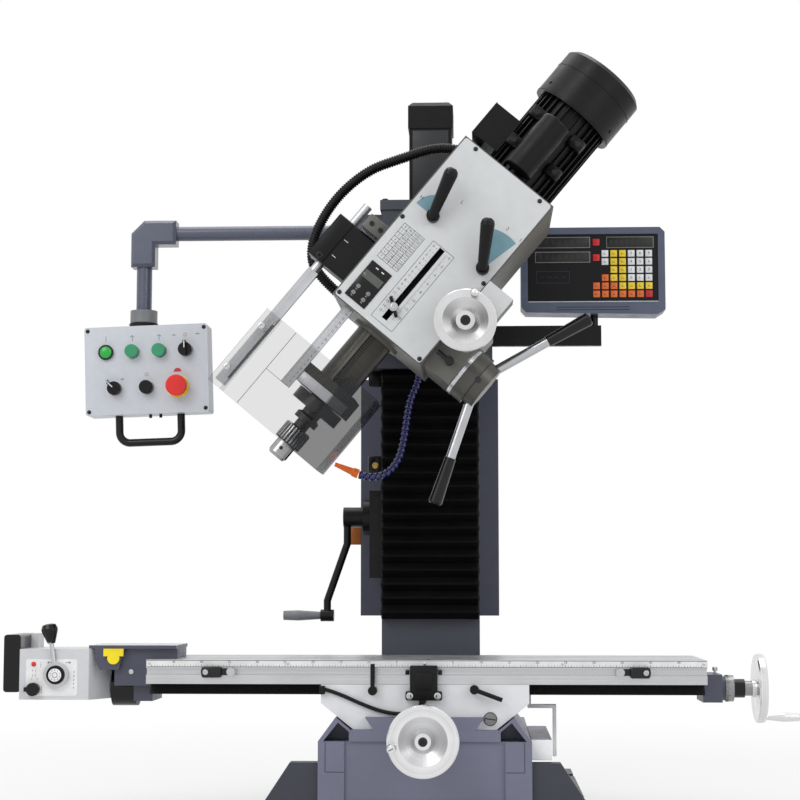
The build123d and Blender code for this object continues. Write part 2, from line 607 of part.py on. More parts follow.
def end_brackets():
    """Bearing brackets of the X screw at both ends of the table."""
    half = TABLE_LENGTH / 2
    near = SPINDLE_Y - BRACKET_WIDTH / 2
    far = SPINDLE_Y + BRACKET_WIDTH / 2
    bore = X_SCREW_R + RUN
    right = block(half, half + BRACKET, near, far, BRACKET_LOW_Z, BRACKET_HIGH_Z)
    right += rod((half, SPINDLE_Y, X_SCREW_Z), (half + BRACKET + BEARING, SPINDLE_Y, X_SCREW_Z), BEARING_R)
    right -= rod((half, SPINDLE_Y, X_SCREW_Z), (half + BRACKET + BEARING, SPINDLE_Y, X_SCREW_Z), bore)
    left = block(-half - BRACKET, -half, near, far, BRACKET_LOW_Z, BRACKET_HIGH_Z)
    left += block(ADAPTOR_LEFT, -half, FEED_FRONT_Y + FEED_TAPER / 2, FEED_BACK_Y, ADAPTOR_LOW_Z,
                  ADAPTOR_HIGH_Z)
    left += rod((FEED_END, SPINDLE_Y, X_SCREW_Z), (-half - BRACKET, SPINDLE_Y, X_SCREW_Z), FEED_COVER_R)
    left -= rod((FEED_END, SPINDLE_Y, X_SCREW_Z), (-half, SPINDLE_Y, X_SCREW_Z), bore)
    return [left, right]


def dished_wheel(origin, axis, bore):
    """A dished handwheel: hub, thin web and a fuller rim."""
    rim = WHEEL_R - WHEEL_RIM
    return turned(
        [(bore, 0), (WHEEL_HUB_R, 0), (WHEEL_HUB_R, WHEEL_WIDTH * 0.2), (rim, WHEEL_WIDTH * 0.35),
         (WHEEL_R - 2, WHEEL_WIDTH * 0.3), (WHEEL_R, WHEEL_WIDTH * 0.42), (WHEEL_R, WHEEL_WIDTH * 0.88),
         (WHEEL_R - 2, WHEEL_WIDTH), (rim, WHEEL_WIDTH * 0.96), (WHEEL_HUB_R + 4, WHEEL_WIDTH * 0.55),
         (WHEEL_HUB_R - 2, WHEEL_WIDTH), (bore, WHEEL_WIDTH)], origin, axis)


def wheel_handle(origin, axis, length):
    """A turned revolving handle, waisted by its collar."""
    r = WHEEL_HANDLE_R
    return turned([(0, 0), (r * 0.8, 0), (r * 0.62, length * 0.12), (r, length * 0.55),
                   (r * 0.85, length * 0.95),
                   (r * 0.6, length), (0, length)], origin, axis)


X_DIAL_LEFT = TABLE_LENGTH / 2 + BRACKET + BEARING + GAP
X_WHEEL_LEFT = X_DIAL_LEFT + X_DIAL + X_CLUTCH
X_SCREW_LEFT = FEED_RIGHT - FEED_TAPER


def x_leadscrew():
    """X screw with its graduated dial and clutch hub."""
    length = X_WHEEL_LEFT + WHEEL_WIDTH - X_SCREW_LEFT
    dial = X_DIAL_LEFT - X_SCREW_LEFT
    hub = dial + X_DIAL
    wheel = X_WHEEL_LEFT - X_SCREW_LEFT
    return turned(
        [(0, 0), (X_SCREW_R, 0), (X_SCREW_R, dial), (X_DIAL_R, dial), (X_DIAL_R, hub), (X_CLUTCH_R, hub),
         (X_CLUTCH_R, hub + X_CLUTCH * 0.6), (X_CLUTCH_R * 0.8, hub + X_CLUTCH * 0.6), (X_CLUTCH_R * 0.8,
                                                                                        wheel),
         (X_SCREW_R, wheel), (X_SCREW_R, length), (0, length)],
        (X_SCREW_LEFT, SPINDLE_Y, X_SCREW_Z), (1, 0, 0))


def x_handwheel():
    wheel = dished_wheel((X_WHEEL_LEFT, SPINDLE_Y, X_SCREW_Z), (1, 0, 0), X_SCREW_R)
    web = (X_WHEEL_LEFT + WHEEL_WIDTH * 0.9, SPINDLE_Y, X_SCREW_Z - WHEEL_HANDLE_PLACE)
    return wheel + wheel_handle(web, (1, 0, 0), X_HANDLE)


def y_handwheel():
    """Y screw with its dial, handwheel and handle."""
    back = Y_WAY_BACK - BASE_WALL / 2
    front = BASE_FRONT_Y - GAP
    shaft = back - front
    dial = shaft + Y_DIAL
    hub = dial + Y_HUB
    screw = turned(
        [(0, 0), (Y_SCREW_R, 0), (Y_SCREW_R, shaft), (Y_DIAL_R, shaft), (Y_DIAL_R, dial), (Y_HUB_R, dial),
         (Y_HUB_R, hub), (Y_SCREW_R, hub), (Y_SCREW_R, hub + WHEEL_WIDTH), (0, hub + WHEEL_WIDTH)],
        (0, back, Y_SCREW_Z), (0, -1, 0))
    wheel_back = front - Y_DIAL - Y_HUB
    wheel = dished_wheel((0, wheel_back, Y_SCREW_Z), (0, -1, 0), Y_SCREW_R)
    web = (-WHEEL_HANDLE_PLACE, wheel_back - WHEEL_WIDTH * 0.9, Y_SCREW_Z - WHEEL_HANDLE_R)
    wheel += wheel_handle(web, (0, -1, 0), Y_HANDLE)
    return [screw, wheel]


def feed_housing():
    """Power-feed gearbox, tapering back to the screw, with the motor's end cap on its left."""
    f, b = FEED_FRONT_Y, FEED_BACK_Y
    body = prism_z([(FEED_LEFT, f), (FEED_RIGHT, f), (FEED_END, f + FEED_TAPER_DEPTH), (FEED_END, b),
                    (FEED_LEFT, b)],
                   FEED_LOW_Z, FEED_HIGH_Z)
    body += block(FEED_LEFT, FEED_LEFT + FEED_LUMP, SPINDLE_Y, b, FEED_HIGH_Z, FEED_CAP_HIGH_Z)
    body -= rod((X_SCREW_LEFT - GAP, SPINDLE_Y, X_SCREW_Z), (FEED_END, SPINDLE_Y, X_SCREW_Z),
                X_SCREW_R + RUN)
    for x, z in ((FEED_DIAL_X, FEED_DIAL_Z), (POWER_KNOB_X, POWER_KNOB_Z)):
        body -= rod((x, f, z), (x, f + FEED_STEM + GAP, z), FEED_STEM_R + RUN)
    cap = block(FEED_LEFT - FEED_CAP, FEED_LEFT, f + FEED_CORNER, b, FEED_CAP_LOW_Z, FEED_CAP_HIGH_Z)
    cap = fillet(cap.edges().filter_by(Axis.Y), FEED_CORNER)
    return [body, cap]


def feed_trip_switch():
    """Trip switch bracket and cover plate over the adaptor, and the actuator on its front."""
    half = TABLE_LENGTH / 2
    face = FEED_FRONT_Y + FEED_TAPER / 2
    top = ADAPTOR_HIGH_Z
    inset = (TRIP_RIGHT - TRIP_LEFT) / 6
    bracket = prism_y([(TRIP_LEFT, top), (TRIP_LEFT + inset, TRIP_LOW_Z), (TRIP_RIGHT - inset, TRIP_LOW_Z),
                       (TRIP_RIGHT, top)], face - 2 * TRIP_PLATE, face)
    bracket += block(TRIP_PLATE_LEFT, TRIP_BLOCK_RIGHT, face - 2 * TRIP_PLATE, FEED_BACK_Y, top,
                     top + TRIP_PLATE)
    bracket += block(-half, TRIP_BLOCK_RIGHT, face, SPINDLE_Y + T_SLOT_PITCH / 2, TABLE_TOP_Z, top)
    front = face - 2 * TRIP_PLATE
    middle = (TRIP_LEFT + TRIP_RIGHT) / 2 + inset
    paddle = block(middle - 2 * inset, middle + 2 * inset, front - PADDLE_DEPTH, front,
                   top - 1.5 * inset, top)
    disc_z = top - 1.9 * inset
    paddle += rod((middle, front - PADDLE_DEPTH, disc_z), (middle, front, disc_z), 1.2 * inset)
    return [bracket, paddle]


def feed_lever():
    """Direction lever: a ring round the speed dial, with a rod and a pear-shaped knob."""
    x, z = FEED_DIAL_X, FEED_DIAL_Z
    back = FEED_FRONT_Y - GAP
    front = FEED_FRONT_Y - FEED_RING
    ring = rod((x, back, z), (x, front, z), FEED_RING_R)
    ring -= rod((x, back, z), (x, front, z), FEED_DIAL_R + 1)
    y = (back + front) / 2
    rise = Vector(-0.16, 0, 1).normalized()
    foot = Vector(x, y, z) + rise * (FEED_RING_R - FEED_LEVER_R)
    top = Vector(x, y, z) + rise * (FEED_LEVER_TOP_Z - z)
    solid = ring + rod(tuple(foot), tuple(top), FEED_LEVER_R)
    r, h = FEED_KNOB_R, FEED_KNOB
    start = top - rise * (h / 2)
    return solid + turned([(0, 0), (r * 0.45, 0), (r * 0.95, h * 0.6), (r, h * 0.75), (r * 0.8, h * 0.95),
                           (r * 0.4, h), (0, h)], tuple(start), tuple(rise))


def feed_speed_dial():
    x, z = FEED_DIAL_X, FEED_DIAL_Z
    solid = rod((x, FEED_FRONT_Y - GAP, z), (x, FEED_FRONT_Y - FEED_DIAL, z), FEED_DIAL_R)
    return solid + rod((x, FEED_FRONT_Y - GAP, z), (x, FEED_FRONT_Y + FEED_STEM, z), FEED_STEM_R)


def feed_power_knob():
    x, z = POWER_KNOB_X, POWER_KNOB_Z
    back = FEED_FRONT_Y - GAP
    front = FEED_FRONT_Y - POWER_KNOB
    solid = rod((x, back, z), (x, front, z), POWER_KNOB_R)
    nub = POWER_KNOB_R / 3
    solid += block(x - POWER_KNOB_R - nub, x, front, back, z - nub, z + nub)
    return solid + rod((x, back, z), (x, FEED_FRONT_Y + FEED_STEM, z), FEED_STEM_R)


Z_NUT_WIDTH = 60.0
Z_NUT_LOW_Z = 960.0
Z_NUT_HIGH_Z = 1020.0
Z_NUT_WALL = 14.0
MANIFOLD_LEFT = -35.0
MANIFOLD_RIGHT = -5.0
MANIFOLD_FRONT_Y = 30.0
MANIFOLD_HIGH_Z = 885.0


def z_carriage():
    """Slide on the column's ways, with the swivel flange, its spigot and the Z nut."""
    half = CARRIAGE_WIDTH / 2
    low = BELLOWS_HIGH_Z + GAP
    jaw = COLUMN_FRONT_Y + Z_WAY_DEPTH - GAP
    solid = block(-half, half, CARRIAGE_FRONT_Y, jaw, low, CARRIAGE_HIGH_Z)
    way = column_section(COLUMN_WIDTH + 4 * GAP, Z_WAY_ROOT + 4 * GAP, COLUMN_FRONT_Y - GAP,
                         Z_WAY_DEPTH + GAP)
    solid -= prism_z(mirrored(way), low, CARRIAGE_HIGH_Z)
    solid += rod((0, CARRIAGE_FRONT_Y, PIVOT_Z), (0, SWIVEL_Y, PIVOT_Z), FLANGE_R)
    solid += rod((0, SWIVEL_Y, PIVOT_Z), (0, SWIVEL_Y - SPIGOT_DEPTH, PIVOT_Z), SPIGOT_R)
    back = Z_SCREW_Y + Z_SCREW_R + Z_NUT_WALL
    solid += block(-Z_NUT_WIDTH / 2, Z_NUT_WIDTH / 2, CARRIAGE_FRONT_Y, back, Z_NUT_LOW_Z, Z_NUT_HIGH_Z)
    solid -= rod((0, Z_SCREW_Y, Z_NUT_LOW_Z), (0, Z_SCREW_Y, Z_NUT_HIGH_Z), Z_SCREW_R + RUN)
    return solid + block(MANIFOLD_LEFT, MANIFOLD_RIGHT, MANIFOLD_FRONT_Y, CARRIAGE_FRONT_Y, low,
                         MANIFOLD_HIGH_Z)


# Head, in its own upright frame: X right, Y back, Z up from the swivel axis
HEAD_LEFT = -95.0
HEAD_RIGHT = 112.0
HEAD_FRONT_Y = -284.0
HEAD_BACK_Y = -20.0
HEAD_LOW = -145.0
HEAD_HIGH = 232.0
HEAD_WALL = 14.0
QUILL_R = 37.5
QUILL_WALL = 12.0
GUIDE_LOW = -152.0
GUIDE_HIGH = 60.0
RACK_DEPTH = 5.0
PINION_R = 15.0
PINION_GAP = 0.5
PINION_WIDTH = 12.0
FEED_SHAFT_R = 10.0
FEED_Z = -95.0
FEED_BOSS_END = 170.0
FEED_BOSS_LOW = -137.0
FEED_BOSS_HIGH = -8.0
FEED_BOSS_FRONT_Y = -262.0
FEED_BOSS_BACK_Y = -72.0
WORM_BOX_END = 166.0
WORM_BOX_HIGH = 52.0
WORM_BOX_FRONT_Y = -300.0
WORM_BOX_BACK_Y = -240.0
FINE_X = 128.0
FINE_Z = -36.0
FINE_R = 8.0
FINE_DEPTH = 60.0
PLATE_LEFT = -91.5
PLATE_RIGHT = 109.5
PLATE_LOW = -143.0
PLATE_HIGH = 229.0
PLATE = 6.0
PLATE_CORNER = 5.0
SLOT_X = 8.0
SLOT_LOW = -122.0
SLOT_HIGH = 42.5
SLOT_WIDTH = 11.5
LEVER_STEM_R = 8.0
LEVER_STEM = 50.0
RANGE_LEVER = (-43.6, 77.9, -65.4, 162.0)
SPEED_LEVER = (86.6, 61.4, 40.9, 132.5)
GEAR_MODULE = 1.5
DRIVE_TEETH = 40
PINION_TEETH = 16
GEAR_LOW = 152.0
GEAR_WIDTH = 22.0
MOTOR_X = 12.0
MOTOR_SHAFT_R = 9.0
MOTOR_FLANGE_R = 76.0
MOTOR_FLANGE = 14.0
MOTOR_FRAME_R = 67.0
MOTOR_FIN_R = 74.0
MOTOR_FIN = 3.0
MOTOR_FINS = 30
MOTOR_BORE_R = 56.0
MOTOR_TOP = 426.0
ROTOR_R = 50.0
FAN_R = 62.0
FAN_COVER_R = 85.0
FAN_COVER_WALL = 3.0
FAN_COVER_LAP = 10.0
FAN_COVER_TOP = 518.0
TERMINAL_LEFT = -113.0
TERMINAL_RIGHT = -52.0
TERMINAL_DEPTH = 80.0
TERMINAL_LOW = 270.0
TERMINAL_HIGH = 343.0
CAPACITOR_R = 29.0
CAPACITOR_X = 10.0
CAPACITOR_LOW = 255.0
CAPACITOR_HIGH = 372.0
SLEEVE_R = 20.0
SPLINE_R = 12.0
SLEEVE_LOW = 95.0

GEAR_CENTRES = GEAR_MODULE * (DRIVE_TEETH + PINION_TEETH) / 2
MOTOR_Y = SPINDLE_Y + math.sqrt(GEAR_CENTRES ** 2 - MOTOR_X ** 2)
PINION_Y = SPINDLE_Y - QUILL_R + RACK_DEPTH - PINION_GAP - PINION_R
HEAD_PLACE = Pos(0, 0, PIVOT_Z) * Rot(0, HEAD_TILT, 0)


def upright(x, y, z0, z1, radius):
    """A round bar parallel to the spindle, in the head's frame."""
    return rod((x, y, z0), (x, y, z1), radius)


def head_casting():
    """Hollow gearbox casting, open at the front, with the quill guide and the feed boss, wall by wall."""
    w = HEAD_WALL
    solid = block(HEAD_LEFT, HEAD_RIGHT, HEAD_FRONT_Y, HEAD_BACK_Y, HEAD_LOW, HEAD_HIGH)
    solid -= block(HEAD_LEFT + w, HEAD_RIGHT - w, HEAD_FRONT_Y, HEAD_BACK_Y - w, HEAD_LOW + w,
                   HEAD_HIGH - w)
    solid += rod((0, HEAD_BACK_Y, 0), (0, SWIVEL_Y - GAP, 0), FLANGE_R)
    solid -= rod((0, SWIVEL_Y - SPIGOT_DEPTH - GAP, 0), (0, SWIVEL_Y - GAP, 0), SPIGOT_R + RUN)
    solid += upright(0, SPINDLE_Y, GUIDE_LOW, GUIDE_HIGH, QUILL_R + QUILL_WALL)
    solid -= upright(0, SPINDLE_Y, GUIDE_LOW, GUIDE_HIGH, QUILL_R + RUN)
    solid += block(HEAD_RIGHT, FEED_BOSS_END, FEED_BOSS_FRONT_Y, FEED_BOSS_BACK_Y, FEED_BOSS_LOW,
                   FEED_BOSS_HIGH)
    solid += block(HEAD_RIGHT, WORM_BOX_END, WORM_BOX_FRONT_Y, WORM_BOX_BACK_Y, FEED_BOSS_HIGH,
                   WORM_BOX_HIGH)
    room = PINION_R + 3
    solid -= block(-PINION_WIDTH / 2 - 4, PINION_WIDTH / 2 + 4, PINION_Y - room, SPINDLE_Y - QUILL_R / 2,
                   FEED_Z - room, FEED_Z + room)
    solid -= rod((0, PINION_Y, FEED_Z), (FEED_BOSS_END, PINION_Y, FEED_Z), FEED_SHAFT_R + RUN)
    solid -= rod((FINE_X, FEED_BOSS_FRONT_Y, FINE_Z), (FINE_X, FEED_BOSS_FRONT_Y + FINE_DEPTH + GAP,
                                                       FINE_Z), FINE_R + RUN)
    lock_end = FEED_BOSS_FRONT_Y + LOCK_STEM + GAP
    solid -= rod((QUILL_LOCK_X, FEED_BOSS_FRONT_Y, QUILL_LOCK_Z), (QUILL_LOCK_X, lock_end, QUILL_LOCK_Z),
                 LOCK_STEM_R + RUN)
    solid -= upright(0, SPINDLE_Y, HEAD_HIGH - w, HEAD_HIGH, SLEEVE_R + RUN)
    solid -= upright(MOTOR_X, MOTOR_Y, HEAD_HIGH - w, HEAD_HIGH, GEAR_MODULE * (PINION_TEETH + 2) / 2 + GAP)
    bar = DEPTH_BAR_WIDTH / 2 + 1
    solid -= block(DEPTH_BAR_X - bar, DEPTH_BAR_X + bar, DEPTH_BAR_Y - 1, DEPTH_BAR_Y + DEPTH_BAR + 1,
                   HEAD_LOW, HEAD_LOW + w)
    guide = upright(0, SPINDLE_Y, GUIDE_LOW, GUIDE_HIGH, QUILL_R + QUILL_WALL)
    shell = solid - guide
    left, right, front, back = HEAD_LEFT + w, HEAD_RIGHT - w, HEAD_FRONT_Y, HEAD_BACK_Y - w
    low, high = HEAD_LOW, HEAD_HIGH
    parts = walls(shell, [
        block(HEAD_LEFT, left, front, back, low, high), block(right, HEAD_RIGHT, front, back, low, high),
        block(left, right, front, back, low, low + w), block(left, right, front, back, high - w, high),
        block(-2 * FLANGE_R, 2 * FLANGE_R, back, SWIVEL_Y, low, high),
        block(HEAD_RIGHT, FEED_BOSS_END, WORM_BOX_FRONT_Y, back, FEED_BOSS_LOW, FEED_BOSS_HIGH),
        block(HEAD_RIGHT, FEED_BOSS_END, WORM_BOX_FRONT_Y, back, FEED_BOSS_HIGH, WORM_BOX_HIGH)])
    return [HEAD_PLACE * part for part in [solid & guide] + parts]


def front_plate():
    face = HEAD_FRONT_Y - PLATE
    solid = block(PLATE_LEFT, PLATE_RIGHT, face, HEAD_FRONT_Y, PLATE_LOW, PLATE_HIGH)
    solid = fillet(solid.edges().filter_by(Axis.Y), PLATE_CORNER)
    solid -= block(SLOT_X - SLOT_WIDTH / 2, SLOT_X + SLOT_WIDTH / 2, face, HEAD_FRONT_Y, SLOT_LOW,
                   SLOT_HIGH)
    for x, z, tip_x, tip_z in (RANGE_LEVER, SPEED_LEVER):
        solid -= rod((x, face, z), (x, HEAD_FRONT_Y, z), LEVER_STEM_R + RUN)
    return HEAD_PLACE * solid


def motor_frame():
    """Finned stator housing on its flange, with a bearing wall at each end."""
    low = HEAD_HIGH
    solid = upright(MOTOR_X, MOTOR_Y, low, low + MOTOR_FLANGE, MOTOR_FLANGE_R)
    solid += upright(MOTOR_X, MOTOR_Y, low, MOTOR_TOP, MOTOR_FRAME_R)
    fin = Box(MOTOR_FIN_R, MOTOR_FIN, MOTOR_TOP - low - MOTOR_FLANGE,
              align=(Align.MIN, Align.CENTER, Align.MIN))
    fins = [Pos(MOTOR_X, MOTOR_Y, low + MOTOR_FLANGE) * Rot(0, 0, i * 360 / MOTOR_FINS) * fin
            for i in range(MOTOR_FINS)]
    solid += fins
    solid -= upright(MOTOR_X, MOTOR_Y, low + MOTOR_FLANGE, MOTOR_TOP - MOTOR_FLANGE, MOTOR_BORE_R)
    solid -= upright(MOTOR_X, MOTOR_Y, low, MOTOR_TOP, MOTOR_SHAFT_R + RUN)
    return HEAD_PLACE * solid


def motor_boxes():
    """Terminal box on the motor's side and capacitor cover on its front."""
    seat = upright(MOTOR_X, MOTOR_Y, HEAD_HIGH, MOTOR_TOP, MOTOR_FIN_R + GAP)
    half = TERMINAL_DEPTH / 2
    terminal = block(TERMINAL_LEFT, TERMINAL_RIGHT, MOTOR_Y - half, MOTOR_Y + half, TERMINAL_LOW,
                     TERMINAL_HIGH) - seat
    y = MOTOR_Y - MOTOR_FIN_R - CAPACITOR_R - GAP
    capacitor = upright(CAPACITOR_X, y, CAPACITOR_LOW, CAPACITOR_HIGH, CAPACITOR_R)
    capacitor = fillet(capacitor.edges(), CAPACITOR_R / 8)
    return [HEAD_PLACE * terminal, HEAD_PLACE * capacitor]


def fan_cover():
    r, t = FAN_COVER_R, FAN_COVER_WALL
    low = MOTOR_TOP - FAN_COVER_LAP
    height = FAN_COVER_TOP - low
    lip = MOTOR_FIN_R + GAP
    points = [(lip, 0), (r, 0), (r, height - 8), (r - 8, height), (0, height), (0, height - t),
              (r - t - 6, height - t), (r - t, height - t - 6), (r - t, FAN_COVER_LAP), (lip, FAN_COVER_LAP)]
    solid = turned(points, (MOTOR_X, MOTOR_Y, low), (0, 0, 1))
    return HEAD_PLACE * solid


def gear(teeth, turn):
    """A spur gear with straight flanks and running backlash, its first tooth turned by an angle."""
    pitch = 2 * math.pi / teeth
    root = GEAR_MODULE * teeth / 2 - 1.2 * GEAR_MODULE
    tip = GEAR_MODULE * teeth / 2 + 0.8 * GEAR_MODULE
    points = []
    for tooth in range(teeth):
        for share, r in ((-0.27, root), (-0.12, tip), (0.12, tip), (0.27, root)):
            angle = turn + (tooth + share) * pitch
            points.append((r * math.cos(angle), r * math.sin(angle)))
    return prism_z(points, GEAR_LOW, GEAR_LOW + GEAR_WIDTH)


GEAR_LINE = math.atan2(MOTOR_Y - SPINDLE_Y, MOTOR_X)


def motor_rotor():
    """Motor shaft with its rotor, cooling fan and pinion."""
    x, y = MOTOR_X, MOTOR_Y
    low = HEAD_HIGH + MOTOR_FLANGE
    solid = upright(x, y, GEAR_LOW, FAN_COVER_TOP - 4 * FAN_COVER_WALL, MOTOR_SHAFT_R)
    solid += upright(x, y, low + 4 * MOTOR_FLANGE / 2, MOTOR_TOP - 2 * MOTOR_FLANGE, ROTOR_R)
    solid += upright(x, y, MOTOR_TOP + MOTOR_FLANGE, MOTOR_TOP + 2 * MOTOR_FLANGE, FAN_R)
    solid += Pos(x, y, 0) * gear(PINION_TEETH, GEAR_LINE + math.pi + math.pi / PINION_TEETH)
    return HEAD_PLACE * solid


def drive_gear():
    """Driven gear on the splined sleeve that turns the spindle."""
    top = HEAD_HIGH - GAP
    solid = upright(0, SPINDLE_Y, SLEEVE_LOW, top, SLEEVE_R) + Pos(0, SPINDLE_Y, 0) * gear(DRIVE_TEETH,
                                                                                           GEAR_LINE)
    return HEAD_PLACE * (solid - upright(0, SPINDLE_Y, SLEEVE_LOW, top, SPLINE_R + RUN))


# Quill, spindle and feed handle, in the head's frame
QUILL_LOW = -300.0
QUILL_HIGH = -22.0
COLLAR_LEFT = -58.0
COLLAR_RIGHT = 54.0
COLLAR_FRONT_Y = -224.0
COLLAR_BACK_Y = -98.0
COLLAR_LOW = -305.0
COLLAR_HIGH = -265.0
COLLAR_LUG = 34.0
DEPTH_BAR_X = -63.0
DEPTH_BAR_WIDTH = 20.0
DEPTH_BAR = 4.0
DEPTH_BAR_LOW = -327.0
POINTER_Z = -95.0
POINTER_R = 4.0
POINTER_LINK = 8.0
POINTER_KNOB_R = 8.0
POINTER_KNOB = 10.0
SPINDLE_R = 17.0
SPINDLE_FLANGE_R = 50.0
SPLINE_TOP = 118.0
CHUCK_TOP = -371.0
CHUCK_R = 26.5
CHUCK_LENGTH = 69.0
CHUCK_SLEEVE = 37.0
CHUCK_NOSE_R = 19.5
ARBOR_R = 8.0
ARBOR = 14.0
DRILL_R = 6.5
DRILL_DEPTH = 40.0
HUB_R = 50.0
HUB_NOSE_R = 45.0
HUB = 55.0
SPOKE_START = 212.0
SPOKE_R = 9.0
SPOKE_LEAN = 21.0
SPOKE_FOOT = 25.0
SPOKE_REACH = 219.0
GRIP_R = 13.0
GRIP_FOOT = 140.0
GRIP_END = 5.0
FINE_DIAL_R = 14.0
FINE_HUB_R = 10.0
FINE_WHEEL_R = 56.0
FINE_DISH_R = 41.0
FINE_BOSS_R = 17.0
FINE_WHEEL_Y = -328.0
FINE_WHEEL = 22.0
FINE_KNOB_R = 8.0
FINE_KNOB_PLACE = 48.0
FINE_KNOB_TURN = 109.5
SHIFT_HUB_R = 12.0
SHIFT_HUB = 16.0
SHIFT_ROOT_R = 9.0
SHIFT_TIP_R = 13.0
SHIFT_RISE = 30.0
QUILL_LOCK_X = 146.0
QUILL_LOCK_Z = -104.0
QUILL_LOCK_ARM = 27.0

DEPTH_BAR_Y = COLLAR_FRONT_Y - DEPTH_BAR
PLATE_FRONT_Y = HEAD_FRONT_Y - PLATE


def quill():
    """Quill with a rack groove at the front and the clamp collar round its lower end."""
    solid = upright(0, SPINDLE_Y, QUILL_LOW, QUILL_HIGH, QUILL_R)
    front = SPINDLE_Y - QUILL_R
    side = PINION_WIDTH / 2 + GAP
    solid -= block(-side, side, front, front + RACK_DEPTH, COLLAR_HIGH, QUILL_HIGH)
    collar = block(COLLAR_LEFT, COLLAR_RIGHT, COLLAR_FRONT_Y, COLLAR_BACK_Y, COLLAR_LOW, COLLAR_HIGH)
    collar = fillet(collar.edges().filter_by(Axis.Z), PLATE_CORNER)
    lug = DEPTH_BAR_X - DEPTH_BAR_WIDTH / 2
    collar += block(lug, COLLAR_LEFT + COLLAR_LUG, COLLAR_FRONT_Y, COLLAR_FRONT_Y + COLLAR_LUG,
                    COLLAR_LOW, COLLAR_HIGH)
    solid += collar
    return HEAD_PLACE * (solid - upright(0, SPINDLE_Y, COLLAR_LOW, QUILL_HIGH, SPINDLE_R + RUN))


def depth_scale():
    """Graduated depth bar on the quill collar, linked to the pointer in the front plate's slot."""
    half = DEPTH_BAR_WIDTH / 2
    link = POINTER_LINK / 2
    back = DEPTH_BAR_Y + DEPTH_BAR
    bar = block(DEPTH_BAR_X - half, DEPTH_BAR_X + half, DEPTH_BAR_Y, back, DEPTH_BAR_LOW, POINTER_Z)
    bar += block(DEPTH_BAR_X - half, SLOT_X + link, DEPTH_BAR_Y - POINTER_LINK, back, POINTER_Z - link,
                 POINTER_Z + link)
    bar += rod((SLOT_X, DEPTH_BAR_Y, POINTER_Z), (SLOT_X, PLATE_FRONT_Y - GAP, POINTER_Z), POINTER_R)
    end = PLATE_FRONT_Y - GAP - POINTER_KNOB
    bar += rod((SLOT_X, PLATE_FRONT_Y - GAP, POINTER_Z), (SLOT_X, end, POINTER_Z), POINTER_KNOB_R)
    return HEAD_PLACE * bar


def spindle():
    """Stepped spindle nose with the chuck arbor below and the drive spline above."""
    nose = COLLAR_LOW - GAP
    points = [(0, CHUCK_TOP - ARBOR), (ARBOR_R, CHUCK_TOP - ARBOR), (ARBOR_R, CHUCK_TOP), (14, CHUCK_TOP),
              (14, CHUCK_TOP + 14), (24, CHUCK_TOP + 14), (24, CHUCK_TOP + 26), (18, CHUCK_TOP + 30),
              (18, CHUCK_TOP + 40), (SPINDLE_FLANGE_R, CHUCK_TOP + 40), (SPINDLE_FLANGE_R, nose - 2),
              (26, nose - 2), (26, nose),
              (SPINDLE_R, nose), (SPINDLE_R, QUILL_HIGH), (SPLINE_R, QUILL_HIGH), (SPLINE_R, SPLINE_TOP),
              (0, SPLINE_TOP)]
    return HEAD_PLACE * turned(points, (0, SPINDLE_Y, 0), (0, 0, 1))


def drill_chuck():
    r, top = CHUCK_R, CHUCK_TOP
    low = top - CHUCK_LENGTH
    sleeve = top - CHUCK_SLEEVE
    points = [(ARBOR_R, top), (r - 3, top), (r, top - 3), (r, sleeve), (CHUCK_NOSE_R, sleeve),
              (CHUCK_NOSE_R, low + 6), (CHUCK_NOSE_R - 4, low), (DRILL_R, low), (DRILL_R, low + DRILL_DEPTH),
              (0, low + DRILL_DEPTH), (0, top - ARBOR), (ARBOR_R, top - ARBOR)]
    return HEAD_PLACE * turned(points, (0, SPINDLE_Y, 0), (0, 0, 1))


def spoke(turn):
    """Start point and direction of one feed spoke, leaning outward from the hub."""
    lean = math.radians(SPOKE_LEAN)
    out = Vector(0, math.cos(turn), math.sin(turn))
    start = Vector(SPOKE_START, PINION_Y, FEED_Z) + out * SPOKE_FOOT
    along = Vector(math.sin(lean), 0, 0) + out * math.cos(lean)
    return start, along, (SPOKE_REACH - SPOKE_FOOT) / math.cos(lean)


SPOKE_TURNS = [math.radians(angle) for angle in (90, 270)]


def feed_hub():
    """Quill feed hub on the pinion shaft, with two spokes."""
    start = -PINION_WIDTH / 2
    face = FEED_BOSS_END + GAP - start
    w = PINION_WIDTH
    solid = turned([(0, 0), (PINION_R, 0), (PINION_R, w), (FEED_SHAFT_R, w), (FEED_SHAFT_R, face),
                    (HUB_R, face),
                    (HUB_R, face + HUB * 0.6), (HUB_NOSE_R, face + HUB * 0.62), (HUB_NOSE_R - 2,
                                                                                 face + HUB),
                    (0, face + HUB)], (start, PINION_Y, FEED_Z), (1, 0, 0))
    for turn in SPOKE_TURNS:
        foot, along, length = spoke(turn)
        solid += rod(tuple(foot), tuple(foot + along * length), SPOKE_R)
    return HEAD_PLACE * solid


def feed_grips():
    """Turned grips on the two spokes."""
    grips = []
    for turn in SPOKE_TURNS:
        foot, along, length = spoke(turn)
        first = (GRIP_FOOT - SPOKE_FOOT) / math.cos(math.radians(SPOKE_LEAN))
        end = length - first
        points = [(SPOKE_R, 0), (GRIP_R * 0.8, 0), (GRIP_R, end + GRIP_END - 3),
                  (GRIP_R * 0.8, end + GRIP_END),
                  (0, end + GRIP_END), (0, end), (SPOKE_R, end)]
        grips.append(HEAD_PLACE * turned(points, tuple(foot + along * first), tuple(along)))
    return grips


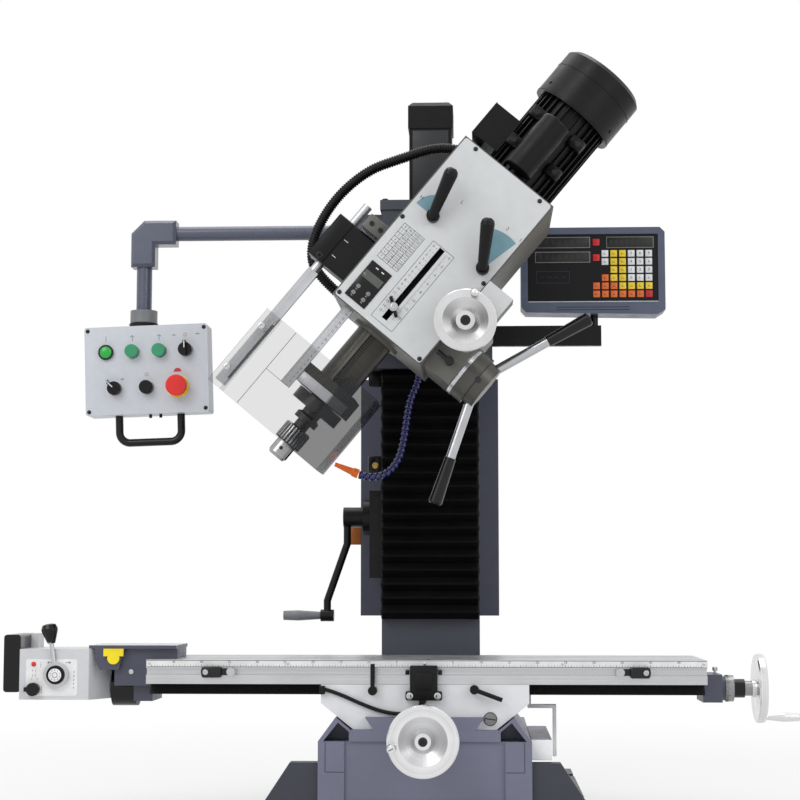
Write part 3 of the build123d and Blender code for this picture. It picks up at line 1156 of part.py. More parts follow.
def fine_feed_wheel():
    """Fine-feed handwheel with its graduated dial, shaft and ball knob."""
    inner = FEED_BOSS_FRONT_Y + FINE_DEPTH
    face = FINE_DEPTH + GAP
    back = inner - FINE_WHEEL_Y
    dial = (face + back) / 2
    front = back + FINE_WHEEL
    solid = turned([(0, 0), (FINE_R, 0), (FINE_R, face), (FINE_DIAL_R, face), (FINE_DIAL_R, dial),
                    (FINE_HUB_R, dial),
                    (FINE_HUB_R, back), (FINE_WHEEL_R - 2, back), (FINE_WHEEL_R,
                                                                   back + 2), (FINE_WHEEL_R, front - 2),
                    (FINE_WHEEL_R - 2, front), (FINE_DISH_R, front), (FINE_BOSS_R, back + FINE_WHEEL / 3),
                    (FINE_BOSS_R, front - 4), (0, front - 4)], (FINE_X, inner, FINE_Z), (0, -1, 0))
    turn = math.radians(FINE_KNOB_TURN)
    x = FINE_X + FINE_KNOB_PLACE * math.cos(turn)
    z = FINE_Z + FINE_KNOB_PLACE * math.sin(turn)
    y = FINE_WHEEL_Y - FINE_WHEEL
    end = y - 2 * FINE_KNOB_R
    solid += rod((x, y + 2, z), (x, end, z), FINE_KNOB_R / 2)
    solid += Pos(x, end - FINE_KNOB_R / 2, z) * Sphere(FINE_KNOB_R)
    return HEAD_PLACE * solid


def shift_lever(place):
    """A speed-change lever in front of the plate, its stem running in the plate's hole."""
    x, z, tip_x, tip_z = place
    face = PLATE_FRONT_Y - GAP
    front = face - SHIFT_HUB
    solid = rod((x, PLATE_FRONT_Y + LEVER_STEM, z), (x, face, z), LEVER_STEM_R)
    solid += rod((x, face, z), (x, front, z), SHIFT_HUB_R)
    start = Vector(x, front, z)
    along = Vector(tip_x, front - SHIFT_RISE, tip_z) - start
    length = along.length
    r = SHIFT_TIP_R
    solid += turned([(0, 0), (SHIFT_ROOT_R, 0), (r, length - r * 0.8), (r * 0.85, length - r * 0.3),
                     (r * 0.5, length), (0, length)], tuple(start), tuple(along))
    solid += Pos(x, front, z) * Sphere(SHIFT_ROOT_R)
    return HEAD_PLACE * solid


def quill_lock():
    x, z = QUILL_LOCK_X, QUILL_LOCK_Z
    face = FEED_BOSS_FRONT_Y - GAP
    middle = face - LOCK_STANDOFF
    solid = rod((x, FEED_BOSS_FRONT_Y + LOCK_STEM, z), (x, face, z), LOCK_STEM_R)
    solid += rod((x, face, z), (x, middle - LOCK_ARM_R, z), LOCK_HUB_R)
    return HEAD_PLACE * (solid + rod((x, middle, z), (x - QUILL_LOCK_ARM, middle, z), LOCK_ARM_R))


# Chuck guard, in the head's frame
SWITCH_BOX_LEFT = -188.0
SWITCH_BOX_FRONT_Y = -235.0
SWITCH_BOX_BACK_Y = -165.0
SWITCH_BOX_LOW = -112.0
SWITCH_BOX_HIGH = -18.0
GUARD_X = -163.0
GUARD_Y = -200.0
GUARD_R = 9.0
GUARD_TOP = 28.0
GUARD_BAR_TOP = -130.0
GUARD_BAR_LOW = -400.0
GUARD_BAR_WIDTH = 22.0
GUARD_BAR = 12.0
SHIELD = 3.0
SHIELD_LEFT = -176.0
SHIELD_RIGHT = 87.0
SHIELD_FRONT_Y = -243.0
SHIELD_BACK_Y = -110.0
SHIELD_LOW = -410.0
SHIELD_HIGH = -240.0


def guard_switch_box():
    solid = block(SWITCH_BOX_LEFT, HEAD_LEFT, SWITCH_BOX_FRONT_Y, SWITCH_BOX_BACK_Y, SWITCH_BOX_LOW,
                  SWITCH_BOX_HIGH)
    solid = fillet(solid.edges().filter_by(Axis.X), PLATE_CORNER)
    return HEAD_PLACE * (solid - upright(GUARD_X, GUARD_Y, SWITCH_BOX_LOW, SWITCH_BOX_HIGH, GUARD_R + RUN))


def guard_rod():
    """Round pivot rod running down into the flat rail that carries the shield."""
    solid = upright(GUARD_X, GUARD_Y, GUARD_BAR_TOP, GUARD_TOP, GUARD_R)
    half = GUARD_BAR_WIDTH / 2
    deep = GUARD_BAR / 2
    solid += block(GUARD_X - half, GUARD_X + half, GUARD_Y - deep, GUARD_Y + deep, GUARD_BAR_LOW,
                   GUARD_BAR_TOP)
    return HEAD_PLACE * solid


def guard_shield():
    """Clear chuck shield bent from one sheet: front panel, right wing and the flange on the rail."""
    t = SHIELD
    left = GUARD_X + GUARD_BAR_WIDTH / 2
    solid = block(SHIELD_LEFT, SHIELD_RIGHT, SHIELD_FRONT_Y, SHIELD_FRONT_Y + t, SHIELD_LOW, SHIELD_HIGH)
    solid += block(SHIELD_RIGHT - t, SHIELD_RIGHT, SHIELD_FRONT_Y, SHIELD_BACK_Y, SHIELD_LOW, SHIELD_HIGH)
    solid += block(left, left + t, SHIELD_FRONT_Y, GUARD_Y + GUARD_BAR, SHIELD_LOW, SHIELD_HIGH)
    return HEAD_PLACE * solid


# Control box on its swinging arm
ARM_R = 15.0
DROP_R = 16.0
ARM_X = -596.0
ELBOW = 50.0
ELBOW_RIGHT = -528.0
ELBOW_LOW_Z = 1078.0
ELBOW_CHAMFER = 27.0
BOX_TOP_Z = 953.0
BOX_LEFT = -117.0
BOX_RIGHT = 137.0
BOX_HEIGHT = 182.0
BOX_FRONT_Y = 145.0
BOX_DEPTH = 65.0
BOX_WALL = 4.0
BOX_ROOF = 16.0
BOX_LEAN = -2.0
BOX_COLLAR_R = 28.0
BOX_COLLAR_LOW_Z = 945.0
BOX_COLLAR_HIGH_Z = 988.0
BOX_SOCKET = 14.0
BEZEL = 3.0
BEZEL_LIP = 1.5
BUTTON_R = 14.0
BUTTON = 10.0
BUTTON_PRESS = 4.0
BUTTON_STEM_R = 6.0
BUTTON_STEM = 24.0
LAMP = (-72.5, -53.0)
FORWARD = (-18.0, -53.0)
REVERSE = (37.5, -53.0)
PUMP = (91.5, -53.0)
MODE = (-56.0, -128.0)
STOP = (10.0, -128.0)
EMERGENCY = (74.0, -128.0)
LAMP_R = 15.5
MUSHROOM_R = 21.5
SELECTOR_RIDGE = 6.0
SELECTOR_PROUD = 8.0
MODE_TURN = -45.0
HANDLE_LEFT = -54.0
HANDLE_RIGHT = 74.0
HANDLE_DROP = 56.0
HANDLE_R = 8.0
HANDLE_BEND = 22.0

BOX_PLACE = Pos(ARM_X, 0, BOX_TOP_Z) * Rot(0, BOX_LEAN, 0)
BOX_STEMS = [FORWARD, REVERSE, PUMP, MODE, STOP, EMERGENCY]


def control_arm():
    """Swinging arm: pivot eye with its pin, round bar, cast elbow and the drop tube."""
    x, y, z = ARM_PIVOT_X, ARM_PIVOT_Y, ARM_Z
    half = ARM_EYE / 2 - GAP
    reach = ARM_EYE / 2 + ARM_LUG
    solid = rod((x, y, z - half), (x, y, z + half), ARM_LUG_R)
    solid += rod((x, y, z - reach), (x, y, z + reach), ARM_PIN_R)
    solid += rod((x - ARM_LUG_R / 2, y, z), (ARM_X, y, z), ARM_R)
    s = ELBOW / 2
    left = ARM_X - s
    points = [(left, ELBOW_LOW_Z), (ARM_X + s, ELBOW_LOW_Z), (ARM_X + s, z - s), (ELBOW_RIGHT, z - s),
              (ELBOW_RIGHT, z + s), (left + ELBOW_CHAMFER, z + s), (left, z + s - ELBOW_CHAMFER)]
    elbow = prism_y(points, y - s, y + s)
    elbow = chamfer(elbow.edges().filter_by(Plane.XZ), ELBOW / 8)
    solid += elbow
    return solid + rod((ARM_X, y, ELBOW_LOW_Z), (ARM_X, y, BOX_COLLAR_HIGH_Z - BOX_SOCKET), DROP_R)


def control_box():
    """Control enclosure hanging from the drop tube, with bezels round its controls."""
    face = BOX_FRONT_Y
    solid = block(BOX_LEFT, BOX_RIGHT, face, face + BOX_DEPTH, -BOX_HEIGHT, 0)
    solid = fillet(solid.edges().filter_by(Axis.Y), PLATE_CORNER)
    w = BOX_WALL
    solid -= block(BOX_LEFT + w, BOX_RIGHT - w, face + w, face + BOX_DEPTH - w, -BOX_HEIGHT + w, -BOX_ROOF)
    for x, z in BOX_STEMS:
        r = MUSHROOM_R if (x, z) == EMERGENCY else BUTTON_R
        solid += rod((x, face, z), (x, face - BEZEL, z), r + BEZEL_LIP)
        solid -= rod((x, face - BEZEL, z), (x, face + BUTTON_STEM + BUTTON_PRESS, z), BUTTON_STEM_R + RUN)
    x, z = LAMP
    solid += rod((x, face, z), (x, face - 2 * BEZEL, z), LAMP_R)
    solid = BOX_PLACE * solid
    y = ARM_PIVOT_Y
    solid += rod((ARM_X, y, BOX_COLLAR_LOW_Z), (ARM_X, y, BOX_COLLAR_HIGH_Z), BOX_COLLAR_R)
    socket = BOX_COLLAR_HIGH_Z - BOX_SOCKET - GAP
    return solid - rod((ARM_X, y, socket), (ARM_X, y, BOX_COLLAR_HIGH_Z), DROP_R + RUN)


def box_handle():
    """Bent round bar under the control box."""
    y = BOX_FRONT_Y + BOX_DEPTH / 2
    low = -BOX_HEIGHT - HANDLE_DROP
    path = FilletPolyline((HANDLE_LEFT, y, -BOX_HEIGHT), (HANDLE_LEFT, y, low), (HANDLE_RIGHT, y, low),
                          (HANDLE_RIGHT, y, -BOX_HEIGHT), radius=HANDLE_BEND)
    section = Plane(origin=(HANDLE_LEFT, y, -BOX_HEIGHT), z_dir=(0, 0, -1)) * Circle(HANDLE_R)
    return BOX_PLACE * sweep(section, path=path)


def push_button(place, radius, standoff):
    """A button cap on its stem, standing off its bezel by its stroke."""
    x, z = place
    back = BOX_FRONT_Y - BEZEL - GAP - BUTTON_PRESS
    solid = rod((x, BOX_FRONT_Y + BUTTON_STEM - BUTTON_PRESS, z), (x, back, z), BUTTON_STEM_R)
    if standoff > 0:
        solid += rod((x, back, z), (x, back - standoff, z), radius * 0.6)
    cap = rod((x, back - standoff, z), (x, back - standoff - BUTTON, z), radius)
    cap = fillet(cap.edges().group_by(Axis.Y)[0], BUTTON / 5)
    return BOX_PLACE * (solid + cap)


def selector(place, turn):
    """A selector knob with a raised pointer ridge."""
    back = BOX_FRONT_Y - BEZEL - GAP
    front = back - BUTTON
    x, z = place
    solid = rod((0, BOX_FRONT_Y + BUTTON_STEM, 0), (0, back, 0), BUTTON_STEM_R)
    solid += rod((0, back, 0), (0, front, 0), BUTTON_R)
    half = SELECTOR_RIDGE / 2
    solid += block(-half, half, front - SELECTOR_PROUD, back, -BUTTON_R, BUTTON_R + half)
    return BOX_PLACE * (Pos(x, 0, z) * Rot(0, turn, 0) * solid)


# Digital readout
READOUT_LEFT = 185.0
READOUT_RIGHT = 480.0
READOUT_LOW_Z = 974.0
READOUT_HIGH_Z = 1155.0
READOUT_FRONT_Y = 170.0
READOUT_BACK_Y = 235.0
READOUT_CORNER = 10.0
READOUT_CHIN = 16.0
READOUT_POST_X = 336.0
READOUT_POST_Y = 202.0
READOUT_POST_R = 8.0
READOUT_POST = 20.0
READOUT_ARM_LOW_Z = 913.0
READOUT_ARM_HIGH_Z = 955.0
READOUT_ARM = 14.0
READOUT_ARM_RIGHT = 350.0
READOUT_SCREEN = 14.0
READOUT_RECESS = 3.0


def dro_arm():
    half = READOUT_ARM / 2
    y = READOUT_POST_Y
    solid = block(COLUMN_WIDTH / 2, READOUT_ARM_RIGHT, y - half, y + half, READOUT_ARM_LOW_Z,
                  READOUT_ARM_HIGH_Z)
    top = READOUT_LOW_Z + READOUT_POST
    return solid + rod((READOUT_POST_X, y, READOUT_ARM_HIGH_Z), (READOUT_POST_X, y, top), READOUT_POST_R)


def dro_display():
    """Readout case with bevelled corners and a sunk screen."""
    c = READOUT_CORNER
    l, r, low, high = READOUT_LEFT, READOUT_RIGHT, READOUT_LOW_Z, READOUT_HIGH_Z
    solid = prism_y([(l, low + READOUT_CHIN), (l + c, low + c / 2), (r - READOUT_CHIN, low),
                     (r, low + c), (r, high - c),
                     (r - c, high), (l + c, high), (l, high - c)], READOUT_FRONT_Y, READOUT_BACK_Y)
    m = READOUT_SCREEN
    solid -= block(l + m, r - m, READOUT_FRONT_Y, READOUT_FRONT_Y + READOUT_RECESS, low + 2 * m, high - m)
    top = low + READOUT_POST + GAP
    return solid - rod((READOUT_POST_X, READOUT_POST_Y, low), (READOUT_POST_X, READOUT_POST_Y, top),
                       READOUT_POST_R + RUN)


# Coolant hose and motor conduit
HOSE_R = 8.0
HOSE_BORE = 4.0
HOSE_RIB = 11.0
HOSE_GROOVE = 2.0
NOZZLE = 50.0
NOZZLE_TIP_R = 4.0
NOZZLE_BORE = 2.0
HOSE_REACH = 120.0
HOSE_LEAN = 10.5
HOSE_DROP = 220.0
# Shares of the reach to the left, the lean to the front and the drop from the manifold
HOSE_SHARES = [(0, 0, 0), (0, 0, 0.1195), (0.1667, 0, 0.3059), (0.2417, 0, 0.6241), (0.3333, 0, 0.8377),
               (0.5417, 0.381, 0.9741), (0.8625, 0.8571, 0.9968), (1, 1, 0.965)]
HOSE_POINTS = [((MANIFOLD_LEFT + MANIFOLD_RIGHT) / 2 - HOSE_REACH * left,
                (MANIFOLD_FRONT_Y + CARRIAGE_FRONT_Y) / 2 - HOSE_LEAN * lean,
                BELLOWS_HIGH_Z + GAP - HOSE_DROP * drop) for left, lean, drop in HOSE_SHARES]
CONDUIT_R = 10.0
CONDUIT_BORE = 7.0
CONDUIT_RIB = 5.0
CONDUIT_GROOVE = 1.5
CONDUIT_BOW = 247.0
CONDUIT_Y = -95.0
CONDUIT_LOW = -124.0
CONDUIT_RISE = 414.0
# Shares of the bow to the left, the depth at the motor and the rise from the lower end
CONDUIT_SHARES = [(0.6235, 0.9263, 0.8261), (0.8097, 0.8, 0.6618), (0.9393, 0.7158, 0.5411),
                  (1, 0.6316, 0.3768), (0.9798, 0.6316, 0.2222), (0.8988, 0.6526, 0.0821),
                  (0.7287, 0.6947, 0)]
CONDUIT_POINTS = [(-CONDUIT_BOW * bow, CONDUIT_Y * deep, CONDUIT_LOW + CONDUIT_RISE * rise)
                  for bow, deep, rise in CONDUIT_SHARES]
CONDUIT_X = TERMINAL_LEFT + 1.5 * CONDUIT_R
CONDUIT_POINTS.insert(0, (CONDUIT_X, CONDUIT_Y, TERMINAL_LOW - 2.4 * CONDUIT_R))
CONDUIT_POINTS.insert(0, (CONDUIT_X, CONDUIT_Y, TERMINAL_LOW))
CONDUIT_POINTS.append((HEAD_LEFT, *CONDUIT_POINTS[-1][1:]))


def soft_path(points):
    """Straight runs joined by arcs as large as the runs allow."""
    corners = [Vector(*point) for point in points]
    radii = []
    for before, here, after in zip(corners, corners[1:], corners[2:]):
        turn = math.radians((here - before).get_angle(after - here))
        radii.append(0.42 * min((here - before).length, (after - here).length) / math.tan(turn / 2))
    return FilletPolyline(*corners, radius=radii)


def ribbed(points, radius, bore, rib, groove, across):
    """A ribbed hose: rings lofted along the path, plain at both ends, with a bore through."""
    path = soft_path(points)
    length = path.length
    plain = 2 * radius
    ribs = int((length - 2 * plain) / rib)
    pitch = (length - 2 * plain) / ribs
    stations = [(0, radius - groove)]
    for i in range(ribs):
        start = plain + i * pitch
        stations += [(start, radius - groove), (start + pitch * 0.2, radius), (start + pitch * 0.7, radius),
                     (start + pitch * 0.9, radius - groove)]
    stations.append((length, radius - groove))
    rings = []
    for s, r in stations:
        t = s / length
        along = (path % t).normalized()
        side = Vector(*across)
        side = (side - along * side.dot(along)).normalized()
        rings.append(Plane(origin=path @ t, x_dir=side, z_dir=along) * Circle(r))
    solid = loft(rings, ruled=True)
    section = Plane(origin=path @ 0, z_dir=path % 0) * Circle(bore)
    solid -= sweep(section, path=path)
    print("ribbed length", round(length), "ribs", ribs, "volume", round(solid.volume))
    return solid


def coolant_hose():
    return ribbed(HOSE_POINTS, HOSE_R, HOSE_BORE, HOSE_RIB, HOSE_GROOVE, (0, 1, 0))


def coolant_nozzle():
    end = Vector(*HOSE_POINTS[-1])
    along = (end - Vector(*HOSE_POINTS[-2])).normalized()
    return turned([(NOZZLE_BORE, 0), (HOSE_R + 1, 0), (HOSE_R + 1, NOZZLE * 0.2),
                   (HOSE_R - 1, NOZZLE * 0.28),
                   (NOZZLE_TIP_R, NOZZLE), (NOZZLE_BORE, NOZZLE)], tuple(end), tuple(along))


def motor_conduit():
    return HEAD_PLACE * ribbed(CONDUIT_POINTS, CONDUIT_R, CONDUIT_BORE, CONDUIT_RIB, CONDUIT_GROOVE,
                               (0, 1, 0))


NODES = {
    "base_casting": base_casting,
    "column": column,
    "column_cap": column_cap,
    "z_lift_motor": z_lift_motor,
    "electrical_cabinet": electrical_cabinet,
    "way_bellows": way_bellows,
    "crank_housing": crank_housing,
    "z_crank": z_crank,
    "z_leadscrew": z_leadscrew,
    "y_scale": y_scale,
    "saddle": saddle,
    "limit_switch": limit_switch,
    "lock_lever_left": lambda: lock_lever("left"),
    "lock_lever_right": lambda: lock_lever("right"),
    "table": table,
    "trip_dogs": trip_dogs,
    "end_brackets": end_brackets,
    "x_leadscrew": x_leadscrew,
    "x_handwheel": x_handwheel,
    "y_handwheel": y_handwheel,
    "feed_housing": feed_housing,
    "feed_trip_switch": feed_trip_switch,
    "feed_lever": feed_lever,
    "feed_speed_dial": feed_speed_dial,
    "feed_power_knob": feed_power_knob,
    "z_carriage": z_carriage,
    "head_casting": head_casting,
    "front_plate": front_plate,
    "motor_frame": motor_frame,
    "motor_boxes": motor_boxes,
    "fan_cover": fan_cover,
    "motor_rotor": motor_rotor,
    "drive_gear": drive_gear,
    "quill": quill,
    "depth_scale": depth_scale,
    "spindle": spindle,
    "drill_chuck": drill_chuck,
    "feed_hub": feed_hub,
    "feed_grips": feed_grips,
    "fine_feed_wheel": fine_feed_wheel,
    "range_lever": lambda: shift_lever(RANGE_LEVER),
    "speed_lever": lambda: shift_lever(SPEED_LEVER),
    "quill_lock": quill_lock,
    "guard_switch_box": guard_switch_box,
    "guard_rod": guard_rod,
    "guard_shield": guard_shield,
    "control_arm": control_arm,
    "control_box": control_box,
    "box_handle": box_handle,
    "forward_button": lambda: push_button(FORWARD, BUTTON_R, 0),
    "reverse_button": lambda: push_button(REVERSE, BUTTON_R, 0),
    "stop_button": lambda: push_button(STOP, BUTTON_R, 0),
    "emergency_stop": lambda: push_button(EMERGENCY, MUSHROOM_R, BUTTON),
    "pump_selector": lambda: selector(PUMP, 0),
    "mode_selector": lambda: selector(MODE, MODE_TURN),
    "dro_arm": dro_arm,
    "dro_display": dro_display,
    "coolant_hose": coolant_hose,
    "coolant_nozzle": coolant_nozzle,
    "motor_conduit": motor_conduit,
}

os.makedirs("parts", exist_ok=True)
for name, make in NODES.items():
    shape = make()
    pieces = shape if isinstance(shape, list) else [shape]
    solids = [solid for piece in pieces for solid in piece.solids()]
    print(name, len(pieces), len(solids), round(sum(solid.volume for solid in solids)))
    export_step(solids[0] if len(solids) == 1 else Compound(children=solids), "parts/" + name + ".step")
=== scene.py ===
# %% [markdown]
# # A mill drill, dressed in Blender
# The solids of this bench mill come from its CAD model and are the fixed frame of the scene. They could be
# modelled again here, but then two sets of sizes could drift apart. So the script loads them as they are,
# gives every one a finish, and adds what a drawing of solids leaves out: bellows, hoses, screws, dials and
# prints.

# %% Load the CAD frame
import json
import math

import bmesh
import bpy
from mathutils import Matrix, Vector
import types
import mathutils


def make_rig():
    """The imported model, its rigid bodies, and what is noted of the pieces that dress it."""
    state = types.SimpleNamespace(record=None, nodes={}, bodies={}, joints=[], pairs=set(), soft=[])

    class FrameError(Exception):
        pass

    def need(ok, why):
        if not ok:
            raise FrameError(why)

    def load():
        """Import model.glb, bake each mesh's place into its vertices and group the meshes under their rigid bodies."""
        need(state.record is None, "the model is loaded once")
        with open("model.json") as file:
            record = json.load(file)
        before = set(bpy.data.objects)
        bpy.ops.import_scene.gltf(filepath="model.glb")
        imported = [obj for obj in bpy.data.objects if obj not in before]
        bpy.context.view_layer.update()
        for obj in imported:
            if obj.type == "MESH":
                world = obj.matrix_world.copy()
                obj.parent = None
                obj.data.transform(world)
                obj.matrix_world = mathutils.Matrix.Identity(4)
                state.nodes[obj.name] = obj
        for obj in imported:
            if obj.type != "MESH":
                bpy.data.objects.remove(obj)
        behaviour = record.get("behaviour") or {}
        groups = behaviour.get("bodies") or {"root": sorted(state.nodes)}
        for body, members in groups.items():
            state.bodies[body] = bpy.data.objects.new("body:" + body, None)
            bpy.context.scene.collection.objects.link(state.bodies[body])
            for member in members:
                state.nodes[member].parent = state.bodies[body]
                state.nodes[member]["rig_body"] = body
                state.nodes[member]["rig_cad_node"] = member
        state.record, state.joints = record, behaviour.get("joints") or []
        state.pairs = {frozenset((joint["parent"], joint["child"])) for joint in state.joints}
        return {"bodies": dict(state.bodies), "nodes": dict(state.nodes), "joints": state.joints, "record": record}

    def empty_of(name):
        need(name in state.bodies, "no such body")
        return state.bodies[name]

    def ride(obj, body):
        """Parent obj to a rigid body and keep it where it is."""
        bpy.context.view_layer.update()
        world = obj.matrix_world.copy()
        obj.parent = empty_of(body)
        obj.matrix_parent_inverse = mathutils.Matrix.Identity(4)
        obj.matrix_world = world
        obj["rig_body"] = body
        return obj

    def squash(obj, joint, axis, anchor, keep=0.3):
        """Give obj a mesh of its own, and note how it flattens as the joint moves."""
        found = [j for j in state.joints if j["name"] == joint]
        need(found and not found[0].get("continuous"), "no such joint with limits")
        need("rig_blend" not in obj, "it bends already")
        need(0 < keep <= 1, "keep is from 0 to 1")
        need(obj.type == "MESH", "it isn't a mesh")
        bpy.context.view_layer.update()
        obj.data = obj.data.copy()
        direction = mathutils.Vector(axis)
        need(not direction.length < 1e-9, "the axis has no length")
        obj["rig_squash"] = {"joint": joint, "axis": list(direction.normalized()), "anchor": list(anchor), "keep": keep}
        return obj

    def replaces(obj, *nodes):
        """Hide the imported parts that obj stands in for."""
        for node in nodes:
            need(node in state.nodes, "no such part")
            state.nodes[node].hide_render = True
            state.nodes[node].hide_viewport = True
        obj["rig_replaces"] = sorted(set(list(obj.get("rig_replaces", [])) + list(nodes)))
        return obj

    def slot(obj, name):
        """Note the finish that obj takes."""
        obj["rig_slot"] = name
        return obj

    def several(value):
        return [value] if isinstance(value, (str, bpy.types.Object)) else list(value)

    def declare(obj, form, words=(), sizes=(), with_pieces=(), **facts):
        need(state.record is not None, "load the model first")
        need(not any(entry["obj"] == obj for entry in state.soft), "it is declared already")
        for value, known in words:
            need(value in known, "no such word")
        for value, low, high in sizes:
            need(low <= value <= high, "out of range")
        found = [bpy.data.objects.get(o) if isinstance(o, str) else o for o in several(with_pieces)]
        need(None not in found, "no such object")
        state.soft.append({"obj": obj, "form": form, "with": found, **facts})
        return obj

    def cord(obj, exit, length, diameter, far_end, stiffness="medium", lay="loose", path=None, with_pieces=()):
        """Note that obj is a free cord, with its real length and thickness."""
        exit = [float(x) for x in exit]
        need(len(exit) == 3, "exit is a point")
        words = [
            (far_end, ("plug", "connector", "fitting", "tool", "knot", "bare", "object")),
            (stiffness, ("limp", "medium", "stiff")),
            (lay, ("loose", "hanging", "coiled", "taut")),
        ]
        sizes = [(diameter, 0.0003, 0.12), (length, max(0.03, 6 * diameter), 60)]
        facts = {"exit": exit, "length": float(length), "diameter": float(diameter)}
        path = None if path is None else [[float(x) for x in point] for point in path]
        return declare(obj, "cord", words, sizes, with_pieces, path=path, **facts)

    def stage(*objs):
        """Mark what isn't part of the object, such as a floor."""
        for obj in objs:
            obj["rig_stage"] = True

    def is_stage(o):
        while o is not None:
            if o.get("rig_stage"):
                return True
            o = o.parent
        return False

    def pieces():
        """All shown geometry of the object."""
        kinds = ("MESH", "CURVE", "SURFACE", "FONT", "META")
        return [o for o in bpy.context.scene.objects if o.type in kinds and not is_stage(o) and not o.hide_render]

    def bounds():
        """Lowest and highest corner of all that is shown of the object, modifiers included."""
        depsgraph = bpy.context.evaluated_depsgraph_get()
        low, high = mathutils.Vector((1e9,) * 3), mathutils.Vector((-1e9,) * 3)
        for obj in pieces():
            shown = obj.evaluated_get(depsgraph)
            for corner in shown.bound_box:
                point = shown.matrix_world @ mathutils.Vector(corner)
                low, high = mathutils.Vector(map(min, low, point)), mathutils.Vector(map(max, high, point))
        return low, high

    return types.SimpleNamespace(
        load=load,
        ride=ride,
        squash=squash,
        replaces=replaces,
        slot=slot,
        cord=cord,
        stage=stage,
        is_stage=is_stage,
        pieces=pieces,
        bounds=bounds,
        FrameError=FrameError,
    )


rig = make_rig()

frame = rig.load()
cad_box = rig.bounds()
scene = bpy.context.scene
MM = 0.001
print("bodies", len(frame["bodies"]), "nodes", len(frame["nodes"]))

# %% [markdown]
# ## Camera
# The machine was photographed from low in front, with a longish lens, so its sides hardly show. A camera
# could be aimed by eye, but a measured place and a direction to look in are easier to adjust, and leave the
# lens unshifted.

# %% Camera
CAMERA_PLACE = Vector((0.102, -3.589, 0.425))
CAMERA_AIM = Vector((-0.0441, 1.0, 0.0997))
CAMERA_LENS, SENSOR_WIDTH = 83.1, 36


def facing(direction):
    """The turn of a camera or lamp that looks in a direction."""
    return direction.to_track_quat("-Z", "Y").to_euler()


camera_data = bpy.data.cameras.new("camera")
camera = bpy.data.objects.new("camera", camera_data)
scene.collection.objects.link(camera)
camera_data.lens = CAMERA_LENS
camera_data.sensor_width = SENSOR_WIDTH
camera.location = CAMERA_PLACE
camera.rotation_euler = facing(CAMERA_AIM)
scene.camera = camera
print("camera lens", camera_data.lens)

# %% [markdown]
# ## Shader nodes
# A node tree can be wired by hand, one link at a time, but that takes a line for every wire. Here one
# helper adds a node and feeds its inputs, each with a plain value or with the output of another node, so a
# tree reads as a sum.

# %% Helpers for shader nodes
WHITE = (1.0, 1.0, 1.0, 1.0)
looks = {}    # by name; the frame brings materials of its own


def feed(tree, node, inputs):
    """Gives a node its inputs, by name or in order; each is a plain value or another node's output."""
    for key, value in inputs.items() if isinstance(inputs, dict) else enumerate(inputs):
        if isinstance(value, bpy.types.NodeSocket):
            tree.links.new(value, node.inputs[key])
        else:
            node.inputs[key].default_value = value


def put(tree, kind, inputs=(), **settings):
    """A new shader node with its settings and inputs; returns its outputs."""
    node = tree.nodes.new("ShaderNode" + kind)
    for label, value in settings.items():
        setattr(node, label, value)
    feed(tree, node, inputs)
    return node.outputs


def sums(tree, operation, *values):
    return put(tree, "Math", values, operation=operation)[0]


def ramp(tree, value, start, end, low, high, kind="LINEAR"):
    """Carries a value from the range start..end over to low..high."""
    limits = {"From Min": start, "From Max": end, "To Min": low, "To Max": high}
    return put(tree, "MapRange", {"Value": value, **limits}, interpolation_type=kind)["Result"]


def new_material(name):
    """The node tree of a new material, and its Principled shader."""
    material = bpy.data.materials.new(name)
    material.use_nodes = True
    looks[name] = material
    return material.node_tree, material.node_tree.nodes["Principled BSDF"]


def seen_rays(tree):
    """1 for rays from the camera, from a mirror and through clear plastic, 0 for those that bring light."""
    path = put(tree, "LightPath")
    mirrored = sums(tree, "MAXIMUM", path["Is Camera Ray"], path["Is Glossy Ray"])
    return sums(tree, "MAXIMUM", mirrored, path["Is Transmission Ray"])


print("node helpers ready")

# %% [markdown]
# ## Floor and light
# A workshop has many lamps, but a catalogue picture has a white sweep and large soft boxes. The world
# stands for the sweep: rays from the camera, from polished steel and through the clear guard see white, and
# all others see a dimmer grey that lights the machine evenly. The floor fades into that white away from the
# machine, so no horizon shows, and near its feet it keeps their shadow. Three soft boxes give the metal its
# long highlights.

# %% World and floor
scene.view_settings.view_transform = "Standard"
WORLD_TONE, WORLD_LIGHT = (0.97, 0.98, 1.0, 1.0), 0.55
FLOOR_TONE, FLOOR_ROUGHNESS, FLOOR_SIZE, FLOOR_GAP = (0.88, 0.88, 0.88, 1.0), 0.85, 30.0, 0.0005
FADE_START, FADE_END, FADE_LEAST = 0.5, 2.6, 0.62

world = bpy.data.worlds.new("studio")
scene.world = world
world.use_nodes = True
tree = world.node_tree
tree.nodes.clear()
soft_grey = put(tree, "Background", {"Color": WORLD_TONE, "Strength": WORLD_LIGHT})[0]
sweep = put(tree, "Background", {"Color": WHITE})[0]
chosen = put(tree, "MixShader", [seen_rays(tree), soft_grey, sweep])[0]
put(tree, "OutputWorld", [chosen])

